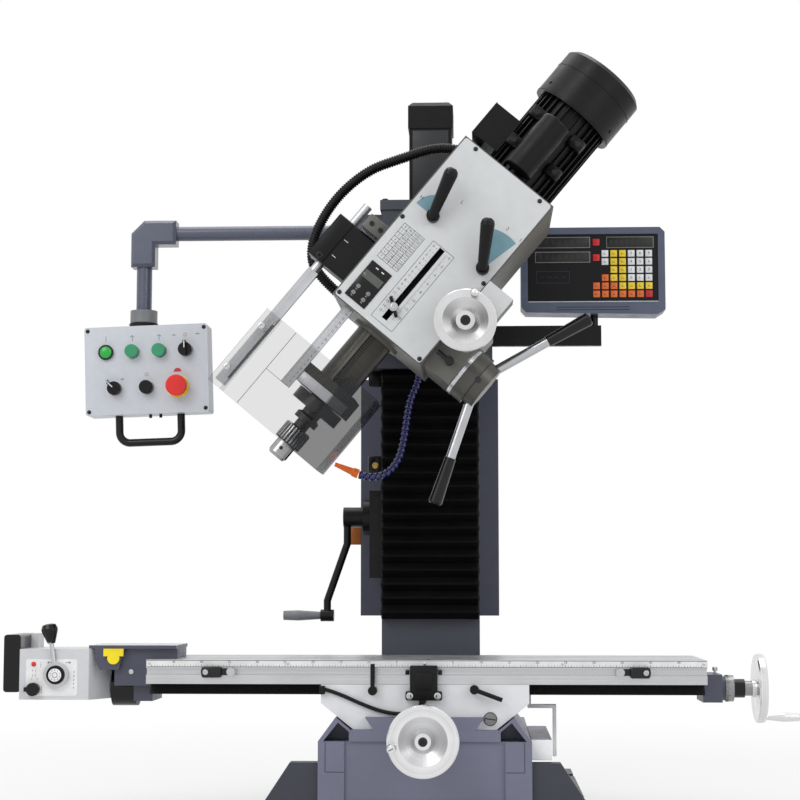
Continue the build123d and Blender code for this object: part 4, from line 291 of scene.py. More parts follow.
floor_mesh = bpy.data.meshes.new("floor")
bm = bmesh.new()
bmesh.ops.create_grid(bm, x_segments=1, y_segments=1, size=FLOOR_SIZE / 2)
bm.to_mesh(floor_mesh)
bm.free()
floor = bpy.data.objects.new("floor", floor_mesh)
floor.location.z = cad_box[0].z - FLOOR_GAP
scene.collection.objects.link(floor)
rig.stage(floor)
tree, shader = new_material("pale_floor")
feed(tree, shader, {"Base Color": FLOOR_TONE, "Roughness": FLOOR_ROUGHNESS})
away = put(tree, "VectorMath", [put(tree, "TexCoord")["Object"]], operation="LENGTH")["Value"]
fade = ramp(tree, away, FADE_START, FADE_END, FADE_LEAST, 1.0, "SMOOTHSTEP")
share = sums(tree, "MULTIPLY", fade, seen_rays(tree))
mixed = put(tree, "MixShader", [share, shader.outputs[0], put(tree, "Emission")[0]])[0]
feed(tree, tree.nodes["Material Output"], {"Surface": mixed})
floor_mesh.materials.append(looks["pale_floor"])
print("floor at", round(floor.location.z, 4))

# %% Soft boxes
LAMPS = {
    "key": ((-2.2, -3.0, 3.2), 2.6, 62.0),
    "fill": ((2.8, -2.4, 2.2), 2.4, 34.0),
    "top": ((0.0, 0.4, 3.6), 2.4, 40.0),
}
LAMP_AIM = Vector((0.0, 0.0, 0.75))
for name, (place, size, power) in LAMPS.items():
    lamp_data = bpy.data.lights.new(name, "AREA")
    lamp_data.shape = "SQUARE"
    lamp_data.size = size
    lamp_data.energy = power
    lamp = bpy.data.objects.new(name, lamp_data)
    lamp.location = place
    lamp.rotation_euler = facing(LAMP_AIM - Vector(place))
    scene.collection.objects.link(lamp)
print("lamps", len(LAMPS))

# %% [markdown]
# ## Finishes
# Up close no part of a machine is one flat colour. Cast iron shows its sand under the paint, ground ways
# carry fine lines from the wheel, turned parts have rings and moulded plastic is grained. Each of these
# effects is one shader node group with named inputs, built once, so that a dozen finishes can share it with
# their own values.

# %% Helpers for node groups
NOISE_LOW, NOISE_HIGH = 0.3, 0.7    # a noise value keeps near its middle


def srgb(red, green, blue):
    """A colour picked as 0 to 255 on screen, in the linear values that a shader takes."""
    linear = [((c / 255 + 0.055) / 1.055) ** 2.4 if c > 10 else c / 3295 for c in (red, green, blue)]
    return (*linear, 1.0)


def effect_group(name, **inputs):
    """A new shader node group with a colour and other inputs; returns its tree, its inputs and its end."""
    tree = bpy.data.node_groups.new(name, "ShaderNodeTree")
    for label, value in {"Color": WHITE, **inputs}.items():
        kind = "Color" if label == "Color" else "Float" if isinstance(value, float) else "Vector"
        socket = tree.interface.new_socket(label, in_out="INPUT", socket_type="NodeSocket" + kind)
        socket.default_value = value
    for label, kind in (("Color", "Color"), ("Roughness", "Float"), ("Height", "Float")):
        tree.interface.new_socket(label, in_out="OUTPUT", socket_type="NodeSocket" + kind)
    return tree, tree.nodes.new("NodeGroupInput").outputs, tree.nodes.new("NodeGroupOutput")


def noise(tree, vector, scale, detail):
    return put(tree, "TexNoise", {"Vector": vector, "Scale": scale, "Detail": detail})["Fac"]


def shaded(tree, colour, factor):
    """A colour times a grey value, which darkens or lightens it."""
    return put(tree, "VectorMath", {0: colour, "Scale": factor}, operation="SCALE")["Vector"]


def toned(tree, colour, value, low, high):
    """A colour times a noise that is stretched to low..high."""
    return shaded(tree, colour, ramp(tree, value, NOISE_LOW, NOISE_HIGH, low, high))


def worn(tree, gloss, value, low, high):
    """A roughness plus a noise that is stretched to low..high."""
    return sums(tree, "ADD", gloss, ramp(tree, value, NOISE_LOW, NOISE_HIGH, low, high))


print("helpers ready")

# %% [markdown]
# Paint on a casting is never flat: a broad cloudiness where the filler was rubbed down, a fine orange peel
# from the spray gun, and dust that settles in patches. Three noises of very different scale give all of it.

# %% Painted castings and sheet
tree, given, made = effect_group("paint_coat", Cloud=0.06, Peel=420.0, Gloss=0.4)
place = put(tree, "TexCoord")["Object"]
cloud, dust = noise(tree, place, 7.0, 4.0), noise(tree, place, 55.0, 5.0)
low, high = (sums(tree, step, 1.0, given["Cloud"]) for step in ("SUBTRACT", "ADD"))
clouded = toned(tree, given["Color"], cloud, low, high)
feed(tree, made, {"Color": toned(tree, clouded, dust, 0.97, 1.02),
                  "Roughness": worn(tree, given["Gloss"], dust, -0.06, 0.08),
                  "Height": noise(tree, place, given["Peel"], 2.0)})
print("paint_coat")

# %% [markdown]
# A grinding wheel leaves thousands of parallel lines, and so does a drawn bar. A noise that is stretched
# along one direction makes them; the stretch is an input, because tables and bars run different ways. The
# place is an input too: the material hands over one that is turned with the part, so the lines stay true on
# the tilted head.

# %% Ground and drawn metal
ALONG_X, ALONG_Z = (3.0, 700.0, 700.0), (700.0, 700.0, 3.0)
tree, given, made = effect_group("ground_lines", Place=(0.0, 0.0, 0.0), Across=ALONG_X, Gloss=0.3)
stretched = put(tree, "VectorMath", [given["Place"], given["Across"]], operation="MULTIPLY")[0]
lines, oil = noise(tree, stretched, 1.0, 4.0), noise(tree, given["Place"], 16.0, 4.0)
lined = toned(tree, given["Color"], lines, 0.88, 1.08)
wiped = worn(tree, given["Gloss"], oil, -0.05, 0.09)
feed(tree, made, {"Color": toned(tree, lined, oil, 0.95, 1.03),
                  "Roughness": worn(tree, wiped, lines, -0.05, 0.06), "Height": lines})
print("ground_lines")

# %% [markdown]
# Handwheels, chuck and quill come off a lathe, so their marks are rings round an axis. The material hands
# the group a place whose Z lies on that axis, and the rings read only the distance from it and the height
# along it. Such rings gather light into a bow-tie across the face, and here that reflection is painted:
# the fan darkens the colour on the two sides that turn from it.

# %% Turned metal
tree, given, made = effect_group("turned_rings", Place=(0.0, 0.0, 0.0), Rings=900.0, Fan=0.0, Gloss=0.25)
apart = put(tree, "SeparateXYZ", [given["Place"]])
flat = put(tree, "CombineXYZ", [apart["X"], apart["Y"]])[0]
radius = put(tree, "VectorMath", [flat], operation="LENGTH")["Value"]
spiral = put(tree, "CombineXYZ", [radius, apart["Z"]])[0]
rings, smear = noise(tree, spiral, given["Rings"], 3.0), noise(tree, given["Place"], 24.0, 4.0)
smeared = toned(tree, toned(tree, given["Color"], rings, 0.86, 1.1), smear, 0.95, 1.03)
sideways, upright = (sums(tree, "MULTIPLY", apart[way], apart[way]) for way in "XY")
total = sums(tree, "ADD", sums(tree, "ADD", sideways, upright), 1e-9)
side_share = sums(tree, "DIVIDE", sideways, total)
# painted reflection: the colour is darkened on the two sides of the axis, which leaves a light bow-tie
fan = sums(tree, "SUBTRACT", 1.0, sums(tree, "MULTIPLY", given["Fan"], side_share))
feed(tree, made, {"Color": shaded(tree, smeared, fan), "Height": rings,
                  "Roughness": worn(tree, given["Gloss"], smear, -0.05, 0.1)})
print("turned_rings")

# %% [markdown]
# Moulds for grips and boxes are spark-eroded, which leaves a fine, even grain. It barely changes the
# colour, but it breaks up highlights, and that is what tells plastic from paint.

# %% Moulded plastic and rubber
tree, given, made = effect_group("mould_grain", Grain=1400.0, Gloss=0.45)
place = put(tree, "TexCoord")["Object"]
handled = noise(tree, place, 30.0, 4.0)
feed(tree, made, {"Color": toned(tree, given["Color"], handled, 0.9, 1.08),
                  "Roughness": worn(tree, given["Gloss"], handled, -0.07, 0.09),
                  "Height": noise(tree, place, given["Grain"], 2.0)})
print("mould_grain")

# %% [markdown]
# A finish is what one surface of the machine looks like: a paint with its colour and gloss, or a steel with
# its own marks. Each could be wired by hand as a node tree of its own, but then a change to an effect would
# have to be made many times. So a finish is one short function: it sets the values of an effect group and
# joins it to a Principled shader.

# %% A finish made from one of the groups
UPWARDS = Vector((0, 0, 1))
COAT_ROUGHNESS, RELIEF = 0.12, 0.0002


def spun(degrees, axis="Z"):
    return Matrix.Rotation(math.radians(degrees), 4, axis)


def own_place(tree, axis):
    """The place on the surface, measured from a point with Z along a direction that the part has."""
    point, along = (Vector(part) for part in axis)
    turn = along.rotation_difference(UPWARDS).to_matrix()
    return put(tree, "Mapping", {"Vector": put(tree, "TexCoord")["Object"], "Rotation": turn.to_euler(),
                                 "Location": -(turn @ point)})["Vector"]


def finish(name, effect, colour, gloss, bump=0.15, metal=0.0, coat=0.0, axis=None, level=0.5, **values):
    """A Principled material that takes colour, roughness and relief from one effect group.
    axis is (a point, the direction of the part's own Z there), in metres, for rings and lines; level is
    how much a surface that is no metal mirrors. Returns the shader."""
    tree, shader = new_material(name)
    if effect in ("ground_lines", "turned_rings"):
        values["Place"] = own_place(tree, axis or ((0, 0, 0), UPWARDS))
    skin = put(tree, "Group", {"Color": srgb(*colour), "Gloss": gloss, **values},
               node_tree=bpy.data.node_groups[effect])
    relief = put(tree, "Bump", {"Strength": bump, "Distance": RELIEF, "Height": skin["Height"]})
    feed(tree, shader, {"Base Color": skin["Color"], "Roughness": skin["Roughness"], "Metallic": metal,
                        "Normal": relief["Normal"], "Specular IOR Level": level, "Coat Weight": coat,
                        "Coat Roughness": COAT_ROUGHNESS})
    return shader


def finishes(effect, rows):
    """A row of finishes that share one effect: name, colour, gloss and what else is special."""
    for name, (colour, gloss, more) in rows.items():
        finish(name, effect, colour, gloss, **more)
    print(effect, len(rows), "finishes")


print("finish ready")

# %% [markdown]
# A turned part has its rings about its own axis, and the head leans by forty degrees with all that it
# holds. The axes could be read off each mesh, but they follow from the sizes of the frame, so each is
# written here as a point and a direction.

# %% The axes of the turned parts
HEAD_TURN = spun(40, "Y")
HEAD = Matrix.Translation((0, 0, 1.0)) @ HEAD_TURN
HEAD_UP = HEAD_TURN @ UPWARDS
QUILL_AXIS, HEAD_AXIS = (HEAD @ Vector((0, -0.150, 0)), HEAD_UP), (HEAD @ Vector((0, 0, 0)), HEAD_UP)
FEED_AXIS = (HEAD @ Vector((0, -0.198, -0.095)), HEAD_TURN @ Vector((1, 0, 0)))
FINE_AXIS = (HEAD @ Vector((0.128, 0, -0.036)), (0, 1, 0))
X_AXIS, Y_AXIS = ((0, -0.15, 0.235), (1, 0, 0)), ((0, 0, 0.156), (0, 1, 0))
print("head leans", round(math.degrees(HEAD_UP.angle(UPWARDS))), "degrees")

# %% [markdown]
# The machine has grey castings, pale plates and a black motor, and then steel, plastic and ink. A function
# for each colour would say the same thing many times. A table for each effect is easier to compare and to
# change: it gives the colour as picked on screen, the gloss, and what else sets the finish apart.

# %% Paints
finishes("paint_coat", {
    "base_paint": ((112, 114, 133), 0.42, dict(Cloud=0.05)),
    "foot_paint": ((52, 54, 64), 0.45, dict(Cloud=0.06)),
    "column_paint": ((66, 69, 80), 0.42, dict(Cloud=0.05)),
    "cabinet_paint": ((72, 74, 90), 0.4, dict(Peel=700.0)),
    "arm_paint": ((78, 82, 100), 0.3, dict(Peel=600.0, coat=0.3)),
    "saddle_paint": ((226, 227, 229), 0.45, dict(Cloud=0.025)),
    # a brighter white than the saddle's, painted light on the reader bracket that sits in the table's shade; the Y
    # scale takes it too
    "white_with_painted_light": ((248, 249, 250), 0.45, dict(Cloud=0.01)),
    # the head casting's light grey paint, darkened as painted shade of its sides
    "head_paint": ((92, 91, 86), 0.45, dict(Cloud=0.06)),
    "plate_paint": ((206, 208, 209), 0.42, dict(Cloud=0.015, Peel=900.0)),
    "panel_paint": ((204, 208, 214), 0.4, dict(Cloud=0.015, Peel=900.0)),
    "feed_paint": ((206, 207, 209), 0.42, dict(Cloud=0.03)),
    "black_paint": ((13, 13, 14), 0.32, dict(level=0.22, Peel=600.0)),
    "motor_paint": ((10, 10, 11), 0.38, dict(level=0.2, Peel=380.0)),
    "panel_grey": ((44, 45, 48), 0.42, dict(level=0.3, Peel=500.0)),
    # a dark tone painted as the shade in the base's pad grooves
    "painted_shade_in_grooves": ((58, 60, 72), 0.5, {}),
})

# %% Ground and turned metal
finishes("ground_lines", {
    "ground_iron": ((196, 197, 199), 0.3, dict(metal=0.9, Across=ALONG_X)),
    "bright_bar": ((205, 206, 210), 0.2, dict(metal=1.0, Across=ALONG_X)),
    "tilted_bar": ((188, 189, 192), 0.3, dict(metal=0.9, axis=HEAD_AXIS, Across=ALONG_Z)),
    # a near-black tone painted as the shade in the quill's rack groove
    "rack_groove_painted_shade": ((24, 24, 25), 0.45, dict(metal=0.3, axis=HEAD_AXIS, Across=ALONG_Z)),
    "collar_steel": ((70, 69, 67), 0.42, dict(metal=0.7, axis=HEAD_AXIS, Across=ALONG_X)),
})
finishes("turned_rings", {
    "quill_steel": ((70, 68, 64), 0.34, dict(metal=0.85, axis=QUILL_AXIS)),
    "spindle_steel": ((66, 65, 64), 0.36, dict(metal=0.8, axis=QUILL_AXIS)),
    "chuck_steel": ((164, 164, 164), 0.24, dict(metal=1.0, axis=QUILL_AXIS)),
    # a dark tone painted as the shade between the chuck's flutes
    "chuck_sleeve_shade": ((44, 44, 45), 0.4, dict(metal=0.6, axis=QUILL_AXIS)),
    "hub_steel": ((84, 83, 80), 0.36, dict(metal=0.85, axis=FEED_AXIS)),
    "fine_alloy": ((214, 214, 215), 0.22, dict(metal=1.0, axis=FINE_AXIS)),
    # fine_dish and y_dish carry a painted bow-tie reflection across the wheels' dishes
    "fine_dish": ((208, 208, 209), 0.26, dict(metal=1.0, axis=FINE_AXIS, Fan=0.62)),
    "x_alloy": ((222, 222, 223), 0.22, dict(metal=1.0, axis=X_AXIS)),
    "y_alloy": ((226, 226, 227), 0.24, dict(metal=1.0, axis=Y_AXIS, bump=0.08)),
    "y_dish": ((212, 212, 214), 0.26, dict(metal=1.0, axis=Y_AXIS, Fan=0.4)),
    "lead_steel": ((150, 150, 150), 0.3, dict(metal=1.0, axis=X_AXIS)),
})

# %% Small metal, plastics and cloth
finishes("mould_grain", {
    "screw_steel": ((190, 190, 192), 0.28, dict(metal=1.0, bump=0.05)),
    "dark_screw": ((46, 46, 48), 0.35, dict(metal=0.8, bump=0.05)),
    "gib_steel": ((124, 124, 126), 0.35, dict(metal=0.6, bump=0.05)),
    "spoke_steel": ((182, 183, 186), 0.22, dict(metal=1.0, bump=0.04)),
    "brass": ((196, 166, 92), 0.3, dict(metal=1.0, bump=0.05)),
    "black_plastic": ((11, 11, 12), 0.38, dict(level=0.22)),
    "gloss_black": ((9, 9, 10), 0.22, dict(bump=0.05, coat=0.08, level=0.28)),
    "readout_case": ((82, 90, 110), 0.36, {}),
    "grip_grey": ((120, 121, 124), 0.38, {}),
    "green_plastic": ((46, 148, 104), 0.4, dict(bump=0.06)),
    "red_plastic": ((226, 34, 26), 0.36, dict(bump=0.06)),
    "yellow_plastic": ((246, 222, 20), 0.4, dict(bump=0.06)),
    "orange_plastic": ((232, 104, 14), 0.42, dict(bump=0.1)),
    "rust_plastic": ((158, 84, 16), 0.45, dict(bump=0.1)),
    "navy_plastic": ((16, 18, 84), 0.2, dict(bump=0.06, coat=0.2)),
    "bellows_cloth": ((7, 7, 8), 0.6, dict(bump=0.25, level=0.12, Grain=2200.0)),
})

# %% Inks, labels, displays and keys
finishes("mould_grain", {
    "ink_grey": ((58, 60, 64), 0.6, dict(bump=0.02)),
    "ink_white": ((226, 227, 228), 0.55, dict(bump=0.02)),
    "ink_black": ((24, 25, 27), 0.55, dict(bump=0.02)),
    "ink_red": ((196, 60, 66), 0.55, dict(bump=0.02)),
    "ink_teal": ((112, 150, 162), 0.5, dict(bump=0.02)),
    "ruler_white": ((226, 227, 226), 0.35, dict(bump=0.02)),
    "label_white": ((236, 236, 236), 0.35, dict(bump=0.02)),
    "display_grey": ((74, 77, 72), 0.18, dict(bump=0.01, coat=0.4)),
    "screen_black": ((18, 18, 21), 0.45, dict(bump=0.03, level=0.2)),
    "smoked": ((42, 43, 40), 0.3, dict(bump=0.01, level=0.25)),
    "digit_grey": ((34, 35, 33), 0.4, dict(bump=0.01)),
    "key_w": ((232, 233, 235), 0.4, dict(bump=0.04)),
    "key_y": ((244, 212, 52), 0.4, dict(bump=0.04)),
    "key_o": ((228, 108, 36), 0.4, dict(bump=0.04)),
    "key_r": ((204, 28, 38), 0.4, dict(bump=0.04)),
})

# %% [markdown]
# ## Dressing the CAD nodes
# Most solids keep one finish. Some were cast, turned and painted in one piece, such as a hub with bright
# spokes, and there a test on the middle of each face picks the second finish. The same test also paints
# light and shade: a black strip under the table's slab, a whiter reader bracket in the table's shade, a
# light front on the darkened head casting, a darker rack groove and chuck sleeve, and a bow-tie on two
# dishes. Only material slots change, never a mesh.

# %% One finish for each solid
DRESS = {
    "base_paint": "base_casting", "column_paint": "column column_cap z_carriage", "white_with_painted_light": "y_scale",
    "motor_paint": "z_lift_motor motor_frame motor_boxes", "saddle_paint": "saddle", "ground_iron": "table",
    "cabinet_paint": "electrical_cabinet end_brackets feed_trip_switch", "head_paint": "head_casting",
    "black_paint": "crank_housing z_crank fan_cover dro_arm", "plate_paint": "front_plate",
    "screw_steel": "z_leadscrew feed_lever motor_rotor drive_gear", "dark_screw": "trip_dogs quill_lock",
    "black_plastic": "lock_lever_left lock_lever_right feed_speed_dial range_lever speed_lever "
                     "guard_switch_box stop_button pump_selector mode_selector",
    "gloss_black": "feed_power_knob feed_grips box_handle", "lead_steel": "x_leadscrew",
    "x_alloy": "x_handwheel", "y_alloy": "y_handwheel", "feed_paint": "feed_housing",
    "quill_steel": "quill", "spindle_steel": "spindle",
    "tilted_bar": "depth_scale guard_rod", "chuck_steel": "drill_chuck", "hub_steel": "feed_hub",
    "fine_alloy": "fine_feed_wheel", "arm_paint": "control_arm", "panel_paint": "control_box",
    "green_plastic": "forward_button reverse_button", "red_plastic": "emergency_stop",
    "readout_case": "dro_display", "orange_plastic": "coolant_nozzle",
}


def dress(node, look):
    slots = frame["nodes"][node].data.materials
    slots.clear()
    slots.append(looks[look])


def second(node, look, test):
    """Faces of a node whose middle and normal pass the test take another finish."""
    mesh = frame["nodes"][node].data
    mesh.materials.append(looks[look])
    chosen = [face for face in mesh.polygons if test(face.center, face.normal)]
    for face in chosen:
        face.material_index = len(mesh.materials) - 1
    print(node, look, len(chosen), "faces")


for look, nodes in DRESS.items():
    for node in nodes.split():
        dress(node, look)
print("finishes on solids", len(DRESS))

# %% Solids with two or three finishes
TO_HEAD = HEAD.inverted()


def off_axis(point, axis):
    """Distance of a point from an axis."""
    start, along = (Vector(part) for part in axis)
    return (point - start).cross(along).length


def in_collar(point):
    """Whether a point of the quill belongs to the clamp collar."""
    return -0.3055 < (TO_HEAD @ point).z < -0.2645


def in_rack(point):
    """Whether a point of the quill lies in its rack groove."""
    local = TO_HEAD @ point
    return local.z > -0.2652 and abs(local.x) < 0.0068 and -0.1872 < local.y < -0.180


def on_sleeve(point):
    """Whether a point of the chuck lies on the outside of its sleeve."""
    local = TO_HEAD @ point
    return local.z > -0.4085 and math.hypot(local.x, local.y + 0.150) > 0.026


# what takes it, its solid, its finish, and a test on the middle c and the normal n of a face, in metres
SECOND_FINISHES = [
    ("feet", "base_casting", "foot_paint", lambda c, n: abs(c.x) > 0.1895),
    ("spokes", "feed_hub", "spoke_steel", lambda c, n: off_axis(c, FEED_AXIS) > 0.0505),
    ("end cap", "feed_housing", "gloss_black", lambda c, n: c.x < -0.7379),
    ("button", "feed_trip_switch", "yellow_plastic", lambda c, n: c.y < -0.2325),
    ("ball", "feed_lever", "gloss_black", lambda c, n: c.z > 0.3185),
    ("bearing cap", "end_brackets", "gloss_black",
     lambda c, n: c.x < -0.5351 and off_axis(c, X_AXIS) < 0.0345),
    ("dark collar", "x_leadscrew", "gloss_black", lambda c, n: 0.5605 < c.x < 0.5808),
    # the reader bracket under the table takes the brighter white, painted light against the table's shade
    ("bracket", "saddle", "white_with_painted_light", lambda c, n: c.x > 0.2085),
    ("top", "y_scale", "base_paint", lambda c, n: n.z > 0.9),
    ("collars", "trip_dogs", "screw_steel", lambda c, n: abs(c.x) < 0.3536),
    ("grip", "z_crank", "grip_grey", lambda c, n: c.x < -0.2274),
    ("top", "feed_trip_switch", "plate_paint", lambda c, n: n.z > 0.9 and c.z > 0.312),
    # the casting's front faces keep its own light grey; the darker rest is painted shade
    ("front", "head_casting", "plate_paint", lambda c, n: n.y < -0.9 and c.y < -0.2985),
    # the dishes of the two handwheels take the finishes with the painted bow-tie reflection
    ("dish", "fine_feed_wheel", "fine_dish",
     lambda c, n: n.y < -0.3 and 0.0172 < off_axis(c, FINE_AXIS) < 0.0408),
    ("dish", "y_handwheel", "y_dish", lambda c, n: n.y < -0.3 and 0.0202 < off_axis(c, Y_AXIS) < 0.0423),
    ("clamp collar", "quill", "collar_steel", lambda c, n: in_collar(c)),
    # the rack groove and the chuck sleeve between its flutes are darkened as painted shade
    ("rack groove", "quill", "rack_groove_painted_shade", lambda c, n: in_rack(c)),
    ("sleeve", "drill_chuck", "chuck_sleeve_shade", lambda c, n: on_sleeve(c)),
    # the table's faces below its slab are painted black as the shade under the slab
    ("painted shade under slab", "table", "black_paint", lambda c, n: c.z < 0.2468),
]
for what, node, look, test in SECOND_FINISHES:
    second(node, look, test)
print("second finishes", ", ".join(sorted({row[0] for row in SECOND_FINISHES})))

# %% [markdown]
# The chuck guard is a bent sheet of clear plastic. A glass shader with full transmission would be
# physically right but noisy, so the sheet is a thin see-through film with a sharp reflection. Its left part
# is nearly clear and its right part is smoked, so the film's strength follows the head's own left-to-right
# direction. Cut edges look dark.

# %% Clear guard
SMOKE_START, SMOKE_END, CLEAR_ALPHA, SMOKED_ALPHA, EDGE_ALPHA = 0.016, 0.024, 0.13, 0.54, 0.8
SHEET_TONE, SHEET_GLOSS, SHEET_IOR, SHEET_LEVEL = srgb(48, 49, 51), 0.26, 1.45, 0.25
tree, shader = new_material("clear_sheet")
scuff = put(tree, "Group", {"Color": SHEET_TONE, "Gloss": SHEET_GLOSS},
            node_tree=bpy.data.node_groups["mould_grain"])
across = put(tree, "SeparateXYZ", [own_place(tree, HEAD_AXIS)])["X"]
smoke = ramp(tree, across, SMOKE_START, SMOKE_END, CLEAR_ALPHA, SMOKED_ALPHA, "SMOOTHSTEP")
feed(tree, shader, {"Base Color": scuff["Color"], "Roughness": scuff["Roughness"], "Alpha": smoke,
                    "IOR": SHEET_IOR, "Specular IOR Level": SHEET_LEVEL})
dress("guard_shield", "clear_sheet")
edge_shader = finish("guard_edge", "mould_grain", (70, 71, 73), 0.2, bump=0.03)
edge_shader.inputs["Alpha"].default_value = EDGE_ALPHA
EDGE_WAYS = [HEAD_UP, -HEAD_UP, HEAD_TURN @ Vector((-1, 0, 0))]
second("guard_shield", "guard_edge", lambda c, n: any(n.dot(way) > 0.9 for way in EDGE_WAYS)
       and abs((TO_HEAD @ c).x + 0.1505) > 0.004)

# %% [markdown]
# ## Shapes for the small parts
# Keys, rings, bars and strips are all made the same way: a bmesh starts from a cube, a circle or a profile,
# and bevel and spin give it its form. Each shape is made at the origin, in millimetres, and then put in its
# place, so the finished object itself never has to be moved. A piece is a list of shapes with their places.

# %% Basic shapes


def bevelled(shape, edges, offset, segments):
    bmesh.ops.bevel(shape, geom=edges, offset=offset, affect="EDGES", segments=segments, profile=0.5,
                    material=-1)


def only(kind, geometry):
    """The vertices or the edges of what an operator returns."""
    return [part for part in geometry["geom"] if isinstance(part, kind)]


def brick(x, y, z, edge=0.0, segments=2):
    """A box about the origin with rounded edges."""
    shape = bmesh.new()
    bmesh.ops.create_cube(shape, size=1.0, matrix=Matrix.Diagonal((x * MM, y * MM, z * MM, 1.0)))
    if edge:
        bevelled(shape, shape.edges[:], edge * MM, segments)
    return shape


def lathe(profile, sides=48):
    """A profile of (radius, height) pairs spun round Z."""
    shape = bmesh.new()
    verts = [shape.verts.new((r * MM, 0.0, z * MM)) for r, z in profile]
    edges = [shape.edges.new(pair) for pair in zip(verts, verts[1:])]
    bmesh.ops.spin(shape, geom=verts + edges, cent=(0, 0, 0), axis=(0, 0, 1), angle=math.tau, steps=sides,
                   use_merge=True)
    bmesh.ops.remove_doubles(shape, verts=shape.verts, dist=1e-7)
    bmesh.ops.recalc_face_normals(shape, faces=shape.faces)
    return shape


def tube(inner, outer, height, sides):
    """A plain ring from Z 0 to its height."""
    return lathe([(inner, 0), (outer, 0), (outer, height), (inner, height), (inner, 0)], sides)


def drum(radius, length, edge, sides=40):
    """A round bar from Z 0 to its length, with a rounded far rim."""
    rim = [(radius - edge * (1 - math.sin(a)), length - edge * (1 - math.cos(a)))
           for a in (math.pi / 2, math.pi / 4, 0)]
    return lathe([(0, 0), (radius, 0), *rim, (0, length)], sides)


print("shapes ready")

# %% [markdown]
# Screw heads are small, but they show how a machine is put together. A hexagon socket could be a dark disc,
# but a real hole catches light on its rim. So a circle is extruded, bevelled and inset, and its inner ring
# is drawn to a hexagon and sunk. A pan screw is spun from a profile, with a dimple where the driver goes.

# %% Screw heads
RIM, LEDGE, HEXAGON = 0.12, 0.3, 0.46    # shares of a screw head's radius
SUNK, SHOULDER, DIMPLE = 0.6, 0.35, 0.55    # shares of its height


def socket_screw(radius, height, sides=24):
    """A cap screw's head along Z, with its hexagon socket."""
    radius, height = radius * MM, height * MM
    shape = bmesh.new()
    bmesh.ops.create_circle(shape, cap_ends=True, segments=sides, radius=radius)
    top = bmesh.ops.extrude_face_region(shape, geom=shape.faces[:])
    bmesh.ops.translate(shape, vec=(0, 0, height), verts=only(bmesh.types.BMVert, top))
    cap = max(shape.faces, key=lambda f: f.calc_center_median().z)
    bevelled(shape, list(cap.edges), radius * RIM, 2)
    cap = max(shape.faces, key=lambda f: (f.calc_center_median().z, f.calc_area()))
    bmesh.ops.inset_individual(shape, faces=[cap], thickness=radius * LEDGE)
    for vert in cap.verts:
        turn = math.atan2(vert.co.y, vert.co.x) % (math.pi / 3) - math.pi / 6
        flat = radius * HEXAGON / math.cos(turn)
        vert.co.xy = vert.co.xy.normalized() * flat
    sunk = bmesh.ops.extrude_face_region(shape, geom=[cap])
    bmesh.ops.translate(shape, vec=(0, 0, -height * SUNK), verts=only(bmesh.types.BMVert, sunk))
    bmesh.ops.delete(shape, geom=[cap], context="FACES_ONLY")
    bmesh.ops.recalc_face_normals(shape, faces=shape.faces)
    return shape


def pan_screw(radius, height, sides=24):
    """A low domed head along Z with a dimple in its middle."""
    dome = [(radius * math.cos(a), height * (SHOULDER + (1 - SHOULDER) * math.sin(a)))
            for a in (0, 0.5, 1.0, 1.3)]
    return lathe([(0, 0), (radius, 0), *dome, (radius * 0.18, height), (0, height * DIMPLE)], sides)


print("screw heads ready")

# %% Places and pieces
CORNER = 35.0
FACE_FRONT = spun(90, "X")    # local Z towards the operator
FACE_BACK = spun(-90, "X")
FACE_RIGHT = spun(90, "Y")    # local Z towards +X
FACE_DOWN = spun(180, "X")


def at(x, y, z):
    """A place in millimetres."""
    return Matrix.Translation((x * MM, y * MM, z * MM))


def turns(count):
    """Equal turns round Z."""
    return [spun(360 * step / count) for step in range(count)]


def piece(name, look, body, parts, slot=None, corner=CORNER):
    """Shapes in their places as one object at the origin that rides on a CAD body."""
    mesh = bpy.data.meshes.new(name)
    bm = bmesh.new()
    for shape, place in parts:
        bmesh.ops.transform(shape, matrix=place, verts=shape.verts)
        shape.to_mesh(mesh)
        shape.free()
        bm.from_mesh(mesh)
    for face in bm.faces:
        face.smooth = True
    bm.to_mesh(mesh)
    bm.free()
    mesh.set_sharp_from_angle(angle=math.radians(corner))
    mesh.materials.append(looks[look])
    made = bpy.data.objects.new(name, mesh)
    scene.collection.objects.link(made)
    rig.ride(made, body)
    if slot:
        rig.slot(made, slot)
    print(name, len(mesh.polygons), "faces on", body)
    return made


print("pieces ready")

# %% [markdown]
# ## Way bellows
# A pleated cover of coated cloth keeps chips off the column's ways and closes up as the head comes down. A
# flat strip with a bump map would look painted on, so the pleats are real: one U-shaped ring is extruded
# upwards, and every second ring is drawn in. The whole cover flattens towards its foot with the head's
# slide.

# %% Bellows
BELLOWS_LOW, BELLOWS_HIGH, PLEATS = 356.0, 852.0, 18
BELLOWS_FRONT, BELLOWS_BACK, BELLOWS_HALF = 67.9, 109.4, 97.9
PLEAT_DEPTH, PLEAT_SIDE, BELLOWS_CORNER, CLOTH = 14.0, 1.2, 3.0, 0.0012
HEAD_TRAVEL = 260.0
PLEAT_STEPS = [(0.0, 1.0), (0.47, 0.0), (0.53, 0.0)]


def bellows_ring(draw_in):
    """Plan of the cover, from its left edge round the front to its right edge."""
    half, front = BELLOWS_HALF - PLEAT_SIDE * draw_in, BELLOWS_FRONT + PLEAT_DEPTH * draw_in
    left = [(-half, BELLOWS_BACK), (-half, front + BELLOWS_CORNER), (-half + BELLOWS_CORNER, front)]
    return left + [(-x, y) for x, y in reversed(left)]


